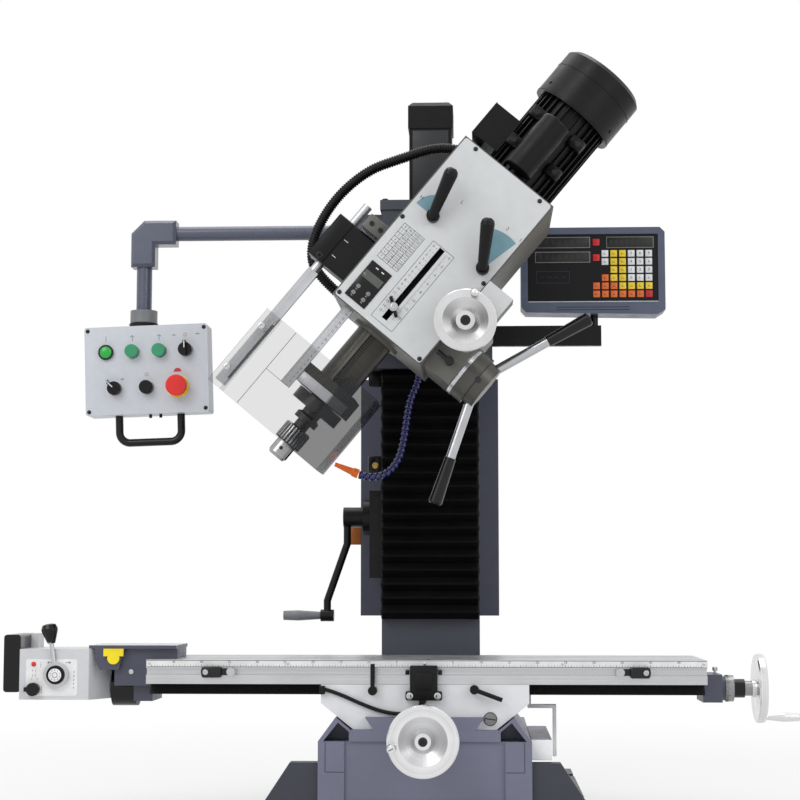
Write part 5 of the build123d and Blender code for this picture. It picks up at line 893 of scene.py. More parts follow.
bm = bmesh.new()
pitch = (BELLOWS_HIGH - BELLOWS_LOW) / PLEATS
rings = [(BELLOWS_LOW + (fold + part) * pitch, draw) for fold in range(PLEATS) for part, draw in PLEAT_STEPS]
rings.append((BELLOWS_HIGH, 1.0))
verts = [bm.verts.new((x * MM, y * MM, BELLOWS_LOW * MM)) for x, y in bellows_ring(1.0)]
edges = [bm.edges.new(pair) for pair in zip(verts, verts[1:])]
for height, draw_in in rings[1:]:
    risen = bmesh.ops.extrude_edge_only(bm, edges=edges)
    edges, verts = only(bmesh.types.BMEdge, risen), only(bmesh.types.BMVert, risen)
    verts.sort(key=lambda v: (v.co.x, v.co.y * (-1 if v.co.x < 0 else 1)))
    for vert, (x, y) in zip(verts, bellows_ring(draw_in)):
        vert.co = (x * MM, y * MM, height * MM)
bmesh.ops.recalc_face_normals(bm, faces=bm.faces)
bmesh.ops.solidify(bm, geom=bm.faces[:], thickness=CLOTH)
bellows = piece("way_bellows_cloth", "bellows_cloth", "base", [(bm, Matrix())], "bellows_cloth",
                corner=20.0)
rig.replaces(bellows, "way_bellows")
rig.squash(bellows, "head_z", axis=(0, 0, 1), anchor=(0, 0, BELLOWS_LOW * MM),
          keep=1 - HEAD_TRAVEL / (BELLOWS_HIGH - BELLOWS_LOW))

# %% [markdown]
# ## Hose, conduit and lead
# A hose is a fixed length of something flexible, so its line comes first: a NURBS curve with the route's
# corners as control points, which gives one smooth sweep. Its points are then read back, and the jointed
# hose's beads or the conduit's ribs are strung along them, each turned to follow the line.

# %% A line and stations along it
LINE_ORDER, LINE_STEPS = 3, 16


def mesh_of(curve):
    """The mesh that Blender makes of a curve or a text; the curve itself is then deleted."""
    holder = bpy.data.objects.new(curve.name, curve)
    scene.collection.objects.link(holder)
    bpy.context.view_layer.update()
    mesh = bpy.data.meshes.new_from_object(holder.evaluated_get(bpy.context.evaluated_depsgraph_get()))
    bpy.data.objects.remove(holder)
    bpy.data.curves.remove(curve)
    return mesh


def smooth_line(name, points):
    """A NURBS curve through the route; points in metres."""
    curve = bpy.data.curves.new(name, "CURVE")
    curve.dimensions = "3D"
    spline = curve.splines.new("NURBS")
    spline.points.add(len(points) - 1)
    for knot, point in zip(spline.points, points):
        knot.co = (*point, 1.0)
    spline.order_u = LINE_ORDER
    spline.use_endpoint_u = True
    spline.resolution_u = LINE_STEPS
    return curve


def line_points(name, points):
    """The points of that curve and its length."""
    mesh = mesh_of(smooth_line(name, points))
    read = [v.co.copy() for v in mesh.vertices]
    bpy.data.meshes.remove(mesh)
    length = sum((b - a).length for a, b in zip(read, read[1:]))
    print(name, round(length, 3), "m,", len(read), "points")
    return read, length


def station(read, distance):
    """The place at a distance along the line, with local Z along it."""
    for a, b in zip(read, read[1:]):
        run = (b - a).length
        if distance <= run or b is read[-1]:
            middle = a.lerp(b, min(distance / run, 1.0))
            return Matrix.Translation(middle) @ (b - a).to_track_quat("Z", "Y").to_matrix().to_4x4()
        distance -= run


print("line helpers ready")

# %% [markdown]
# The coolant hose is a chain of plastic balls and sockets that stays where it is bent. Each link is a spun
# profile: a ball that goes into the link before it, a waist, and a flared socket.

# %% Coolant hose
HOSE_ROUTE = [(-20, 45, 852.3), (-20, 45, 826), (-40, 45, 785), (-49, 45, 715), (-60, 45, 668),
              (-85, 41, 638), (-123.5, 36, 633), (-140, 34.5, 640)]
LINK, HOSE_R = 10.6, 8.0
LINK_PROFILE = [(4.2, -1.5), (6.0, -1.0), (6.9, 0.8), (6.2, 2.4), (6.6, 3.2), (7.9, 5.0), (8.0, 8.4),
                (7.4, 9.4), (5.0, 9.6), (4.2, -1.5)]
hose_read, hose_length = line_points("hose_line", [Vector(p) * MM for p in HOSE_ROUTE])
links = int(hose_length / MM / LINK)
hose = piece("coolant_hose_links", "navy_plastic", "carriage", [
    (lathe(LINK_PROFILE, 20), station(hose_read, number * hose_length / links)) for number in range(links)
], "blue_plastic")
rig.replaces(hose, "coolant_hose")
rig.cord(hose, exit=hose_read[0], length=hose_length, diameter=2 * HOSE_R * MM, far_end="fitting",
        stiffness="stiff", lay="hanging", path=hose_read, with_pieces=["coolant_nozzle"])

# %% [markdown]
# The motor's wires run in a corrugated conduit that bows out to the head's side. A ring is extruded along
# the line, wide on each rib and narrow in each groove, so the ribs show in the outline too.

# %% Motor conduit
CONDUIT_ROUTE = [(-98, -95, 270), (-98, -95, 246), (-154, -88, 218), (-200, -76, 150), (-232, -68, 100),
                 (-247, -60, 32), (-242, -60, -32), (-222, -62, -90), (-180, -66, -124), (-95, -66, -124)]
CONDUIT_R, CONDUIT_GROOVE, RIB, CONDUIT_SIDES = 10.0, 1.6, 5.0, 18
RIB_STEPS = ((0.0, 1), (0.15, 0), (0.6, 0), (0.75, 1))
conduit_line = [HEAD @ (Vector(p) * MM) for p in CONDUIT_ROUTE]
conduit_read, conduit_length = line_points("conduit_line", conduit_line)
bm = bmesh.new()
ribs = int(conduit_length / MM / RIB)
ring_places = [(number + part, CONDUIT_R - CONDUIT_GROOVE * deep)
               for number in range(ribs) for part, deep in RIB_STEPS]
ring_places.append((ribs, CONDUIT_R - CONDUIT_GROOVE))
ring = bmesh.ops.create_circle(bm, cap_ends=True, segments=CONDUIT_SIDES, radius=1.0)["verts"]
edges = bm.edges[:]
before = Matrix()
for number, (step, radius) in enumerate(ring_places):
    if number:
        grown = bmesh.ops.extrude_edge_only(bm, edges=edges)
        edges, ring = only(bmesh.types.BMEdge, grown), only(bmesh.types.BMVert, grown)
    here = station(conduit_read, step * conduit_length / ribs) @ Matrix.Scale(radius * MM, 4)
    bmesh.ops.transform(bm, matrix=here @ before.inverted(), verts=ring)
    before = here
bmesh.ops.contextual_create(bm, geom=edges)
bmesh.ops.recalc_face_normals(bm, faces=bm.faces)
conduit = piece("motor_conduit_ribs", "black_plastic", "head", [(bm, Matrix())], "black_plastic",
                corner=25.0)
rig.replaces(conduit, "motor_conduit")
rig.cord(conduit, exit=conduit_read[0], length=conduit_length, diameter=2 * CONDUIT_R * MM, far_end="object",
        stiffness="stiff", lay="hanging", path=conduit_read)

# %% [markdown]
# The limit switch sits on the saddle's front with its lead clipped to the casting. The switch is a moulded
# box with two ears, so it is built from bevelled bricks, and the lead is a plain round cord on its own
# smooth line.

# %% Limit switch and its lead
SADDLE_FRONT = -278.0
GLAND = [(3.7, 0), (6.5, 0), (6.5, 4), (3.7, 7), (3.7, 0)]
switch = piece("limit_switch_body", "black_plastic", "saddle", [
    (brick(49, 18, 61, 2), at(-1.5, SADDLE_FRONT - 9, 250.5)),
    (brick(65, 16, 16, 3), at(-1.5, SADDLE_FRONT - 8, 228)),
    (brick(30, 3, 30, 1), at(-1.5, SADDLE_FRONT - 19, 254)),
    (drum(4.2, 7, 1), at(-34, SADDLE_FRONT - 9, 269) @ FACE_RIGHT),
    (drum(4.2, 7, 1), at(24, SADDLE_FRONT - 9, 269) @ FACE_RIGHT),
    (brick(10, 10, 15, 1.5), at(-182, SADDLE_FRONT - 5, 237.5)),
    (lathe(GLAND, 24), at(-4, SADDLE_FRONT - 9, 220) @ FACE_DOWN),
], "black_plastic")
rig.replaces(switch, "limit_switch")
piece("limit_switch_screws", "screw_steel", "saddle", [
    (socket_screw(6.2, 5), at(x, SADDLE_FRONT - 15.5, 228) @ FACE_FRONT) for x in (-26, 23)], "steel")

LEAD_R = 3.5
LEAD_ROUTE = [(-4, -287, 219), (-8, -287, 209), (-23, -283.2, 199), (-47, -281.8, 195),
              (-79, -281.8, 200.5), (-115, -281.8, 214), (-152, -281.8, 231), (-182, -281.8, 240)]
lead_line = smooth_line("limit_lead", [Vector(p) * MM for p in LEAD_ROUTE])
lead_line.bevel_depth = LEAD_R * MM
lead_line.bevel_resolution = 4
lead_line.use_fill_caps = True
lead_line.materials.append(looks["black_plastic"])
lead = bpy.data.objects.new("limit_lead", lead_line)
scene.collection.objects.link(lead)
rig.ride(lead, "saddle")
lead_length = line_points("lead_line", [Vector(p) * MM for p in LEAD_ROUTE])[1]
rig.cord(lead, exit=Vector(LEAD_ROUTE[0]) * MM, length=lead_length, diameter=2 * LEAD_R * MM,
        far_end="object", lay="loose")

# %% [markdown]
# ## Prints and scales
# Front plates and rulers carry screen-printed lines and plain numbers. They could be painted by a shader,
# but ink that lies on the surface as a film a tenth of a millimetre thick stays sharp in any close-up. Two
# helpers give a printed line or a number in the plane of a plate.

# %% Printing helpers
INK, CAP_HEIGHT, PLATE_FRONT = 0.12, 0.72, -290.0


def printed(width, height, place):
    """A printed bar that faces the operator, and its place."""
    return brick(width, INK, height), place


def numeral(text, height, place):
    """A printed number that faces the operator, and its place."""
    letters = bpy.data.curves.new("number", "FONT")
    letters.body, letters.size = text, height * MM / CAP_HEIGHT
    letters.align_x, letters.align_y = "CENTER", "CENTER"
    letters.resolution_u, letters.extrude = 2, INK * MM / 2
    mesh = mesh_of(letters)
    shape = bmesh.new()
    shape.from_mesh(mesh)
    bpy.data.meshes.remove(mesh)
    return shape, place @ FACE_FRONT


def on_plate(u, v, proud=0.0):
    """A place on the head's front plate, in the head's own tilted frame."""
    return HEAD @ at(u, PLATE_FRONT - proud, v)


def boxed(left, right, low, high, columns, rows, line, spot):
    """The printed lines of a table with columns and rows; spot gives the place of a point on its plate."""
    for column in range(columns + 1):
        yield printed(line, high - low, spot(left + column * (right - left) / columns, (low + high) / 2))
    for row in range(rows + 1):
        yield printed(right - left, line, spot((left + right) / 2, low + row * (high - low) / rows))


print("print helpers ready")

# %% [markdown]
# The front plate shows a spindle speed table, a depth scale on both sides of the slot and two teal sectors
# for the shift levers. The table holds plain numbers of revolutions, and the sectors are circles cut by two
# planes.

# %% Front plate prints
TABLE_LEFT, TABLE_RIGHT, TABLE_LOW, TABLE_HIGH, TABLE_COLUMNS, TABLE_ROWS = -76.0, -29.0, -41.5, 36.5, 4, 8
COLUMN, ROW = (TABLE_RIGHT - TABLE_LEFT) / TABLE_COLUMNS, (TABLE_HIGH - TABLE_LOW) / TABLE_ROWS
SPEED_LEAST, SPEED_STEP = 90, 60
PLATE_LINE, SCALE_BOX = 0.8, (-14.8, 34.0, -131.5, 44.5)
SCALE_TOP, SCALE_STEP, FINE_MARKS, BROAD_MARKS = 37, 2, 76, 16
FINE_LEFT, FINE_NUMBER, BROAD_MARK, BROAD_NUMBER = 19.5, 28.0, -1.5, -8.0
SHIFT, RANGE, SHIFT_R = (86.6, 61.4), (-43.6, 77.9), 86


def plate_prints():
    yield from boxed(TABLE_LEFT, TABLE_RIGHT, TABLE_LOW, TABLE_HIGH, TABLE_COLUMNS, TABLE_ROWS, PLATE_LINE,
                     on_plate)
    speed = SPEED_LEAST
    for row in range(TABLE_ROWS):
        for column in range(TABLE_COLUMNS):
            spot = on_plate(TABLE_LEFT + (column + 0.5) * COLUMN, TABLE_HIGH - (row + 0.5) * ROW)
            yield numeral(str(speed if column else row), 4.4, spot)
            speed += SPEED_STEP if column else 0
    yield from boxed(*SCALE_BOX, 1, 1, PLATE_LINE, on_plate)
    for step in range(FINE_MARKS):
        long, v = 5.0 if step % 5 == 0 else 2.6, SCALE_TOP - SCALE_STEP * step
        yield printed(long, 0.4, on_plate(FINE_LEFT + long / 2, v))
        if step % 10 == 0:
            yield numeral(str(step // 5), 5.0, on_plate(FINE_NUMBER, v))
    for step in range(BROAD_MARKS):
        v = SCALE_TOP - 5 * SCALE_STEP * step
        yield printed(3.0, 0.5, on_plate(BROAD_MARK, v))
        yield numeral(str(step), 4.8, on_plate(BROAD_NUMBER, v))
    for number, angle in (("1", 77), ("2", 98), ("3", 119)):
        u, v = SHIFT_R * math.cos(math.radians(angle)), SHIFT_R * math.sin(math.radians(angle))
        yield numeral(number, 7.0, on_plate(SHIFT[0] + u, SHIFT[1] + v))
    yield numeral("H", 7.0, on_plate(-82, 92))
    yield numeral("L", 7.0, on_plate(-20, 132))


def sector(radius, low, high):
    """A flat sector from one angle to another, in degrees, facing local Z."""
    shape = bmesh.new()
    bmesh.ops.create_circle(shape, cap_ends=True, segments=96, radius=radius * MM)
    for angle, side in ((low, -1), (high, 1)):
        turn = math.radians(angle)
        outwards = (-math.sin(turn) * side, math.cos(turn) * side, 0)
        bmesh.ops.bisect_plane(shape, geom=shape.verts[:] + shape.edges[:] + shape.faces[:],
                               plane_co=(0, 0, 0), plane_no=outwards, clear_outer=True)
    bmesh.ops.solidify(shape, geom=shape.faces[:], thickness=INK * MM)
    return shape


piece("plate_prints", "ink_black", "head", plate_prints())
piece("plate_sectors", "ink_teal", "head", [
    (sector(76, 77, 128), on_plate(*SHIFT, 0.05) @ FACE_FRONT),
    (sector(40, 100, 180), on_plate(*RANGE, 0.05) @ FACE_FRONT)])

# %% [markdown]
# A small counter for the quill depth is let into the plate: a black frame, a grey display and four keys.
# Screws hold the plate, and the slot's pointer carries a wing nut that clamps the depth stop.

# %% Depth counter, plate screws and wing nut
COUNTER_KEYS = ((-66, -106), (-43, -106), (-66, -120), (-43, -120))
PLATE_SCREWS = ((-86, -136), (104, -137), (105, 42), (-87, 43), (-64, 223), (87, 222.5))
piece("counter_frame", "gloss_black", "head", [(brick(46.5, 2, 79, 0.7), on_plate(-54.2, -92.3, 0.6))],
      "black_plastic")
piece("counter_display", "display_grey", "head", [(brick(40, 0.8, 15.5, 0.2), on_plate(-54.6, -79.6, 1.5))])
piece("counter_keys", "grip_grey", "head", [
    (drum(4.2, 1.2, 0.4, 24), on_plate(u, v, 1.5) @ FACE_FRONT) for u, v in COUNTER_KEYS])
piece("counter_prints", "ink_white", "head", [
    *(printed(6.0, 2.0, on_plate(u, -60, 1.65)) for u in (-47, -60)),
    *(printed(4.0, 0.5, on_plate(u, v - 6.2, 1.65)) for u, v in COUNTER_KEYS)])
piece("plate_screws", "dark_screw", "head", [
    (pan_screw(4.2, 2.4), on_plate(u, v) @ FACE_FRONT) for u, v in PLATE_SCREWS], "steel")
piece("pointer_wings", "black_plastic", "quill", [
    (brick(15, 6.5, 4.5, 1.5), on_plate(8, -95, 2.5) @ FACE_FRONT @ spun(turn) @ at(12.5, 0, 4))
    for turn in (145, 325)], "black_plastic")
piece("pointer_screw", "screw_steel", "quill", [(socket_screw(5.2, 2), on_plate(8, -95, 10.2) @ FACE_FRONT)],
      "steel")

# %% [markdown]
# The depth bar is a steel rule that goes up and down with the quill, so its graduations ride on the quill.
# The same goes for the ring of divisions on the feed hub: it turns with the spokes.

# %% Depth bar and feed ring
BAR_FRONT, BAR_LEFT, BAR_LOW, BAR_STEP, BAR_MARKS = -228.0, -72.6, -318, 2, 111
RING_LEFT, RING, RING_IN, RING_OUT, RING_MARKS = 171.0, 7.0, 49.5, 50.7, 72
FEED_PLACE = HEAD @ at(0, -198, -95) @ FACE_RIGHT


def bar_prints():
    for step in range(BAR_MARKS):
        long = 9.0 if step % 10 == 0 else 6.5 if step % 5 == 0 else 4.0
        yield printed(long, 0.25, HEAD @ at(BAR_LEFT + long / 2, BAR_FRONT, BAR_LOW + BAR_STEP * step))
    for step in range(0, BAR_MARKS, 5):
        yield numeral(str(step // 5), 4.2, HEAD @ at(-58.5, BAR_FRONT, BAR_LOW + BAR_STEP * step + 2.4))


def ring_prints():
    for step, turn in enumerate(turns(RING_MARKS)):
        long = 2.8 if step % 2 else 4.5
        yield brick(INK, 0.5, long), FEED_PLACE @ turn @ at(RING_OUT, 0, RING_LEFT + RING - long / 2)


piece("depth_bar_prints", "ink_black", "quill", bar_prints())
piece("feed_ring", "bright_bar", "feed_handle", [
    (tube(RING_IN, RING_OUT, RING, 96), FEED_PLACE @ at(0, 0, RING_LEFT))], "steel")
piece("feed_ring_prints", "ink_black", "feed_handle", ring_prints())
# a dark disc painted as the shade in the hub's hole
piece("hub_painted_hole", "ink_black", "feed_handle", [
    (drum(5.8, 0.6, 0.2, 28), HEAD @ at(206, -247.7, -95) @ FACE_FRONT)])

# %% [markdown]
# ## Motor and guard fittings
# The motor frame carries four foot pads with bolt holes, and a rolled seam runs round its fan cover. The
# end of the cover is open to the air: rings of slots let the fan draw. They are dark bars laid on the dome,
# painted as the shade in the openings and turned about the motor's axis.

# %% Motor pads, fan cover seam and grille
MOTOR_PLACE = HEAD @ at(12, -109.75, 0)
PADS = [(u, v, side) for u, side in ((-37, -1), (61, 1)) for v in (302, 371)]
EYE = [(0, 0.2), (4.8, 0.2), (5.2, 0.8), (6, 0.4), (6, 0), (0, 0)]
ROLL = [(-1, -1.6), (0.7, -0.8), (0.7, 0.8), (-1, 1.6), (-1, -1.6)]
piece("motor_pads", "motor_paint", "head", [
    part for u, v, side in PADS for part in (
        (brick(30, 34, 24, 4), HEAD @ at(u - 3 * side, -164, v)),
        (drum(9.5, 4, 1, 28), HEAD @ at(u, -180, v) @ FACE_FRONT))], "black_aluminium")
piece("motor_pad_bolts", "dark_screw", "head", [
    (lathe(EYE, 28), HEAD @ at(u, -184, v) @ FACE_FRONT) for u, v, side in PADS])
piece("fan_cover_seam", "black_paint", "head", [
    *((lathe([(radius + out, up) for out, up in ROLL], 96), MOTOR_PLACE @ at(0, 0, v))
      for v, radius in ((481, 85.2), (420, 85.0))),
    *((pan_screw(3.5, 2), MOTOR_PLACE @ at(0, 0, 436) @ spun(turn) @ at(84.9, 0, 0) @ FACE_RIGHT)
      for turn in (215, 335, 455))], "black_paint")
# dark bars painted as the shade in the fan cover's slots
piece("fan_painted_slots", "ink_black", "head", [
    (brick(10.5, 4.2, 0.4, 0.1, 1), MOTOR_PLACE @ at(0, 0, 518.1) @ turn @ at(ring, 0, 0))
    for ring, count in ((24, 12), (40, 18), (56, 26)) for turn in turns(count)])

# %% [markdown]
# The guard is held to its rail by two screws and hangs on a bracket at the head's left side. Fine dark
# lines are painted shade where the clear sheet is bent and where it ends.

# %% Guard screws, painted bend shade and bracket
piece("guard_screws", "screw_steel", "guard", [
    (socket_screw(6.2, 4), HEAD @ at(-163, -243, v) @ FACE_FRONT) for v in (-272, -370)], "steel")
# dark lines painted as shade along the sheet's bend and its end
piece("guard_painted_bend_shade", "ink_grey", "guard", [
    (brick(1, 0.4, 168), HEAD @ at(-106, -243.1, -325)),
    (brick(51, 0.4, 0.8), HEAD @ at(-80, -243.1, -326.5)),
    (brick(4.5, 0.5, 127, 0.2), HEAD @ at(-147.8, -243.1, -321))])
# the bracket takes the head's darkened paint, painted shade like the casting
piece("guard_bracket", "head_paint", "head", [(brick(48, 40, 30, 3), HEAD @ at(-117, -232, 2))], "head_paint")
piece("guard_bracket_screws", "dark_screw", "head", [
    (socket_screw(radius, height), HEAD @ at(u, y, v) @ FACE_FRONT) for radius, height, u, y, v in (
        (4.5, 3, -128, -252, 2), (4.5, 3, -108, -252, 2), (6.5, 5, -167, -235, -103))])

# %% [markdown]
# Boxes and covers on such a machine are never plain blocks: a lid overlaps its box, a panel is framed by
# corner posts, and rubber wipers under the carriage brush the ways. Bevelled bricks laid on the solids
# stand for them.

# %% Lids, lift motor panel and way wipers
piece("box_lids", "black_plastic", "head", [
    (brick(31, 3, 90, 1.2), HEAD @ at(-170.5, -236.5, -65)),
    (brick(3, 81.5, 74.5, 1), HEAD @ at(-111.5, -109.75, 306.5))], "black_plastic")
# two short white bars on the guard switch box are painted highlights on its rounded edges
piece("switch_box_painted_highlights", "ink_white", "head", [
    printed(9, 1.2, HEAD @ at(-146, -235, v)) for v in (-52, -88)])
# the tab takes the head's darkened paint, painted shade like the casting
piece("switch_box_tab", "head_paint", "head", [
    (brick(10, 20, 14, 1.5), HEAD @ at(-102, -200, -119))], "head_paint")
piece("lift_motor_panel", "panel_grey", "base", [(brick(74, 2, 148, 0.6), at(0, 155, 1284))], "black_paint")
piece("way_wipers", "black_plastic", "carriage", [
    (brick(26.6, 20, 30, 1.5), at(x, 121, 837)) for x in (-111.7, 111.7)], "black_plastic")

# %% [markdown]
# ## Quill and chuck
# A drill chuck is gripped by its fluted sleeve and tightened with a key. The flutes are narrow rounded bars
# laid round the sleeve, and the sleeve between them is darkened as painted shade; the key holes are dark
# discs on the nose, painted shade in place of holes. In the quill's groove lies the rack that the feed pinion
# turns against: it is cut as a row of short teeth, and the groove behind them is darkened as painted shade.
# A bright strip laid on the clamp collar is a painted highlight.

# %% Chuck flutes, painted key holes, rack teeth and collar highlight
CHUCK_PLACE = HEAD @ at(0, -150, 0)
FLUTES, RACK_TEETH, RACK_LOW, RACK_PITCH = 24, 49, -261, 4.71
piece("chuck_flutes", "chuck_steel", "spindle", [
    (brick(1.4, 3.9, 32.5, 0.6), CHUCK_PLACE @ turn @ at(26.4, 0, -389.5)) for turn in turns(FLUTES)
], "steel")
# dark discs painted as the shade in the chuck's key holes
piece("chuck_key_painted_holes", "ink_black", "spindle", [
    (drum(3.6, 0.5, 0.1, 24), CHUCK_PLACE @ spun(turn) @ at(19.15, 0, -421) @ FACE_RIGHT)
    for turn in (-90, 30, 150)])
piece("rack_teeth", "spindle_steel", "quill", [
    (brick(12, 0.4, 2.3), HEAD @ at(0, -182.7, RACK_LOW + RACK_PITCH * step)) for step in range(RACK_TEETH)
], "steel")
# a bright strip laid on the collar as its painted highlight
piece("collar_painted_highlight", "tilted_bar", "quill", [
    (brick(108, 1.2, 20, 0.3), HEAD @ at(-0.5, -224.5, -294.8))], "steel")

# %% [markdown]
# ## Control box
# The hanging box leans a little, so everything on it is placed in the box's own frame. Bezels are chromed,
# the lamp is a domed lens that glows faintly, and the mushroom button stands on a yellow ring.

# %% Control box finishes
BOX = Matrix.Translation((-0.596, 0, 0.953)) @ spun(-2, "Y")
TO_BOX = BOX.inverted()
BOX_FRONT, BOX_BACK = 145.0, 210.0
BEZEL_REACH, RING_REACH = 16.0, 24.0
LAMP, FORWARD, REVERSE, PUMP = (-72.5, -53.0), (-18.0, -53.0), (37.5, -53.0), (91.5, -53.0)
MODE, STOP, EMERGENCY = (-56.0, -128.0), (10.0, -128.0), (74.0, -128.0)
BEZELS = {FORWARD: "screw_steel", REVERSE: "screw_steel", PUMP: "screw_steel", MODE: "screw_steel",
          STOP: "screw_steel", EMERGENCY: "yellow_plastic", LAMP: "gloss_black"}


def on_box(x, z, y=BOX_FRONT):
    """A place on the control box, as a rule on its front."""
    return BOX @ at(x, y, z)


def bezel_of(spot, reach):
    """A test for the faces of the raised ring round one control."""
    def test(centre, normal):
        local = TO_BOX @ centre
        away = math.hypot(local.x - spot[0] * MM, local.z - spot[1] * MM)
        return local.y < (BOX_FRONT - 0.05) * MM and away < reach * MM
    return test


for spot, look in BEZELS.items():
    second("control_box", look, bezel_of(spot, RING_REACH if spot == EMERGENCY else BEZEL_REACH))
second("control_box", "grip_grey", lambda c, n: c.z > 0.9585)

# %% Lamp, pointers and screws
LENS = [(0, 4.2), (4.5, 4), (9, 3), (11.8, 1.2), (12.2, 0), (0, 0)]
COLLAR = [(16.5, 0), (30, 0), (30, 6), (28.5, 8), (16.5, 8), (16.5, 0)]
LAMP_GLOW = 0.15
lamp_shader = finish("lamp_green", "mould_grain", (8, 158, 52), 0.25, bump=0.05, coat=0.3)
lamp_shader.inputs["Emission Color"].default_value = srgb(6, 170, 50)
lamp_shader.inputs["Emission Strength"].default_value = LAMP_GLOW
piece("lamp_lens", "lamp_green", "control_box", [
    (lathe(LENS, 40), on_box(*LAMP, BOX_FRONT - 6) @ FACE_FRONT)], "green_plastic")
for name, spot, turn in (("pump_selector", PUMP, 0), ("mode_selector", MODE, -45)):
    piece(name + "_line", "ink_white", name, [
        (brick(2.2, 0.3, 14), on_box(*spot, 0) @ spun(turn, "Y") @ at(0, 123.65, 9))])
piece("control_box_screws", "dark_screw", "control_box", [
    (pan_screw(4.2, 2.2), on_box(x, z) @ FACE_FRONT) for x in (-110, 130) for z in (-7.5, -174.5)], "steel")
piece("control_box_fittings", "black_plastic", "control_box", [
    *((drum(3.2, 7.5, 0.8, 20), on_box(x, -181.8, 165) @ FACE_DOWN) for x in (13, 34)),
    (lathe(COLLAR, 40), at(-596, 180, 954.5))], "black_plastic")


# %% Control box prints
def box_prints():
    for x, z in (LAMP, FORWARD, REVERSE):
        yield printed(0.9, 12.0, on_box(x, z + 28))
    for x, z in (FORWARD, REVERSE):
        for side in (-1, 1):
            yield printed(5.5, 0.9, on_box(x + side * 2.2, z + 31.5) @ spun(38 * side, "Y"))
    for x, z in ((-71, -110), (-40, -109), (68, -22), (117, -21)):
        yield printed(9.0, 0.9, on_box(x, z))
        yield printed(0.9, 4.5, on_box(x, z))


piece("control_box_red_prints", "ink_red", "control_box", [
    *((tube(2.6, 3.6, INK, 28), on_box(x, z + up) @ FACE_FRONT) for (x, z), up in ((PUMP, 31), (STOP, 27))),
    (sector(8.0, 0, 180), on_box(EMERGENCY[0], EMERGENCY[1] + 30, BOX_FRONT - 0.1) @ FACE_FRONT)])
piece("control_box_prints", "ink_grey", "control_box", box_prints())

# %% [markdown]
# ## Digital readout
# Behind its sunk window the readout has three smoked displays and a field of square keys in white, yellow,
# orange and red. Every key is the same brick with soft edges, laid out on a grid; each colour is one piece.

# %% Readout screen and displays
SCREEN_FRONT, CASE_FRONT = 173.0, 170.0
DISPLAYS = ((216, 326, 1114, 1134), (216, 326, 1083.5, 1103.5), (362, 456, 1113.5, 1134))
DIGITS, DIGIT_MARGIN = 8, 3


def on_screen(x, z, proud):
    """A place in front of the readout's screen."""
    return at(x, SCREEN_FRONT - proud, z)


def panes(margin, thick, edge, proud):
    """A flat brick for each display, with a margin round it."""
    return [(brick(right - left + margin, thick, high - low + margin, edge),
             on_screen((left + right) / 2, (low + high) / 2, proud)) for left, right, low, high in DISPLAYS]


def digits():
    for left, right, low, high in DISPLAYS:
        step = (right - left - 2 * DIGIT_MARGIN) / DIGITS
        for place in range(DIGITS):
            x = left + DIGIT_MARGIN + step * (place + 0.5)
            yield numeral("8", 11.0, on_screen(x, (low + high) / 2, 1.75))


piece("readout_screen", "screen_black", "dro", [(brick(266.5, 0.8, 138.5), on_screen(332.5, 1071.5, 0.4))],
      "readout_case")
piece("readout_displays", "smoked", "dro", panes(0, 1.2, 0.4, 1.1))
piece("readout_borders", "grip_grey", "dro", panes(3, 0.6, 0.2, 1.0))
piece("readout_digits", "digit_grey", "dro", digits())

# %% Readout keys
KEY_ROWS = (" wyywww", " wyywww", "  yywww", " oyywww", "oooyyyy", "oooooor")
NUMBERS = ("    789", "    456", "    123", "    0")
KEY, KEY_RISE = 13.8, 2.2
KEY_LEFT, KEY_TOP, KEY_STEP_X, KEY_STEP_Z = 339.6, 1100.5, 17.9, 16.8
numbered = {(row, column): number for row, line in enumerate(NUMBERS) for column, number in enumerate(line)}
keys = [(letter, KEY_LEFT + column * KEY_STEP_X, KEY_TOP - row * KEY_STEP_Z, numbered.get((row, column), " "))
        for row, letters in enumerate(KEY_ROWS) for column, letter in enumerate(letters) if letter != " "]
keys += [("r", KEY_LEFT, 1124.0, " "), ("r", KEY_LEFT, 1092.0, " ")]


def legends():
    for letter, x, z, number in keys:
        if number != " ":
            yield numeral(number, 5.5, on_screen(x, z, 2.75))
        else:
            yield printed(5.0, 0.7, on_screen(x, z - 1.2, 2.75))
            yield printed(0.7, 4.0, on_screen(x - 1.5, z, 2.75))


for colour in "wyor":
    piece("readout_keys_" + colour, "key_" + colour, "dro", [
        (brick(KEY, KEY_RISE, KEY, 0.8), on_screen(x, z, 1.6))
        for letter, x, z, number in keys if letter == colour])
piece("readout_legends", "ink_black", "dro", legends())
piece("readout_prints", "ink_grey", "dro", [
    *(printed(0.6, 24.0, on_screen(x, 1052, 0.9)) for x in (217.5, 284.5)),
    *(printed(67.6, 0.6, on_screen(251, z, 0.9)) for z in (1040, 1064)),
    *(printed(9.0, 0.6, on_screen(x, 1052, 0.9)) for x in (228, 243, 258, 273))])
piece("readout_chin_lines", "screen_black", "dro", [
    printed(150.0, 1.2, at(332, CASE_FRONT, z)) for z in (984, 989.5)])
# a white line painted as the highlight on the window's lower ledge
piece("readout_painted_sill_highlight", "ink_white", "dro", [printed(266.0, 1.2, at(332.5, CASE_FRONT, 1000.8))])

# %% [markdown]
# ## Table
# A ruler is screwed to the table's front edge: a pale strip with a tick every five millimetres and a number
# every fifty. A painted texture could show it, but ticks laid as thin bars stay sharp from close by.

# %% Table ruler
TABLE_FRONT, RULER_THICK = -270.0, 0.6
RULER_LOW, RULER_HIGH, RULER_HALF = 277.0, 289.0, 499.0
RULER_FACE = TABLE_FRONT - RULER_THICK


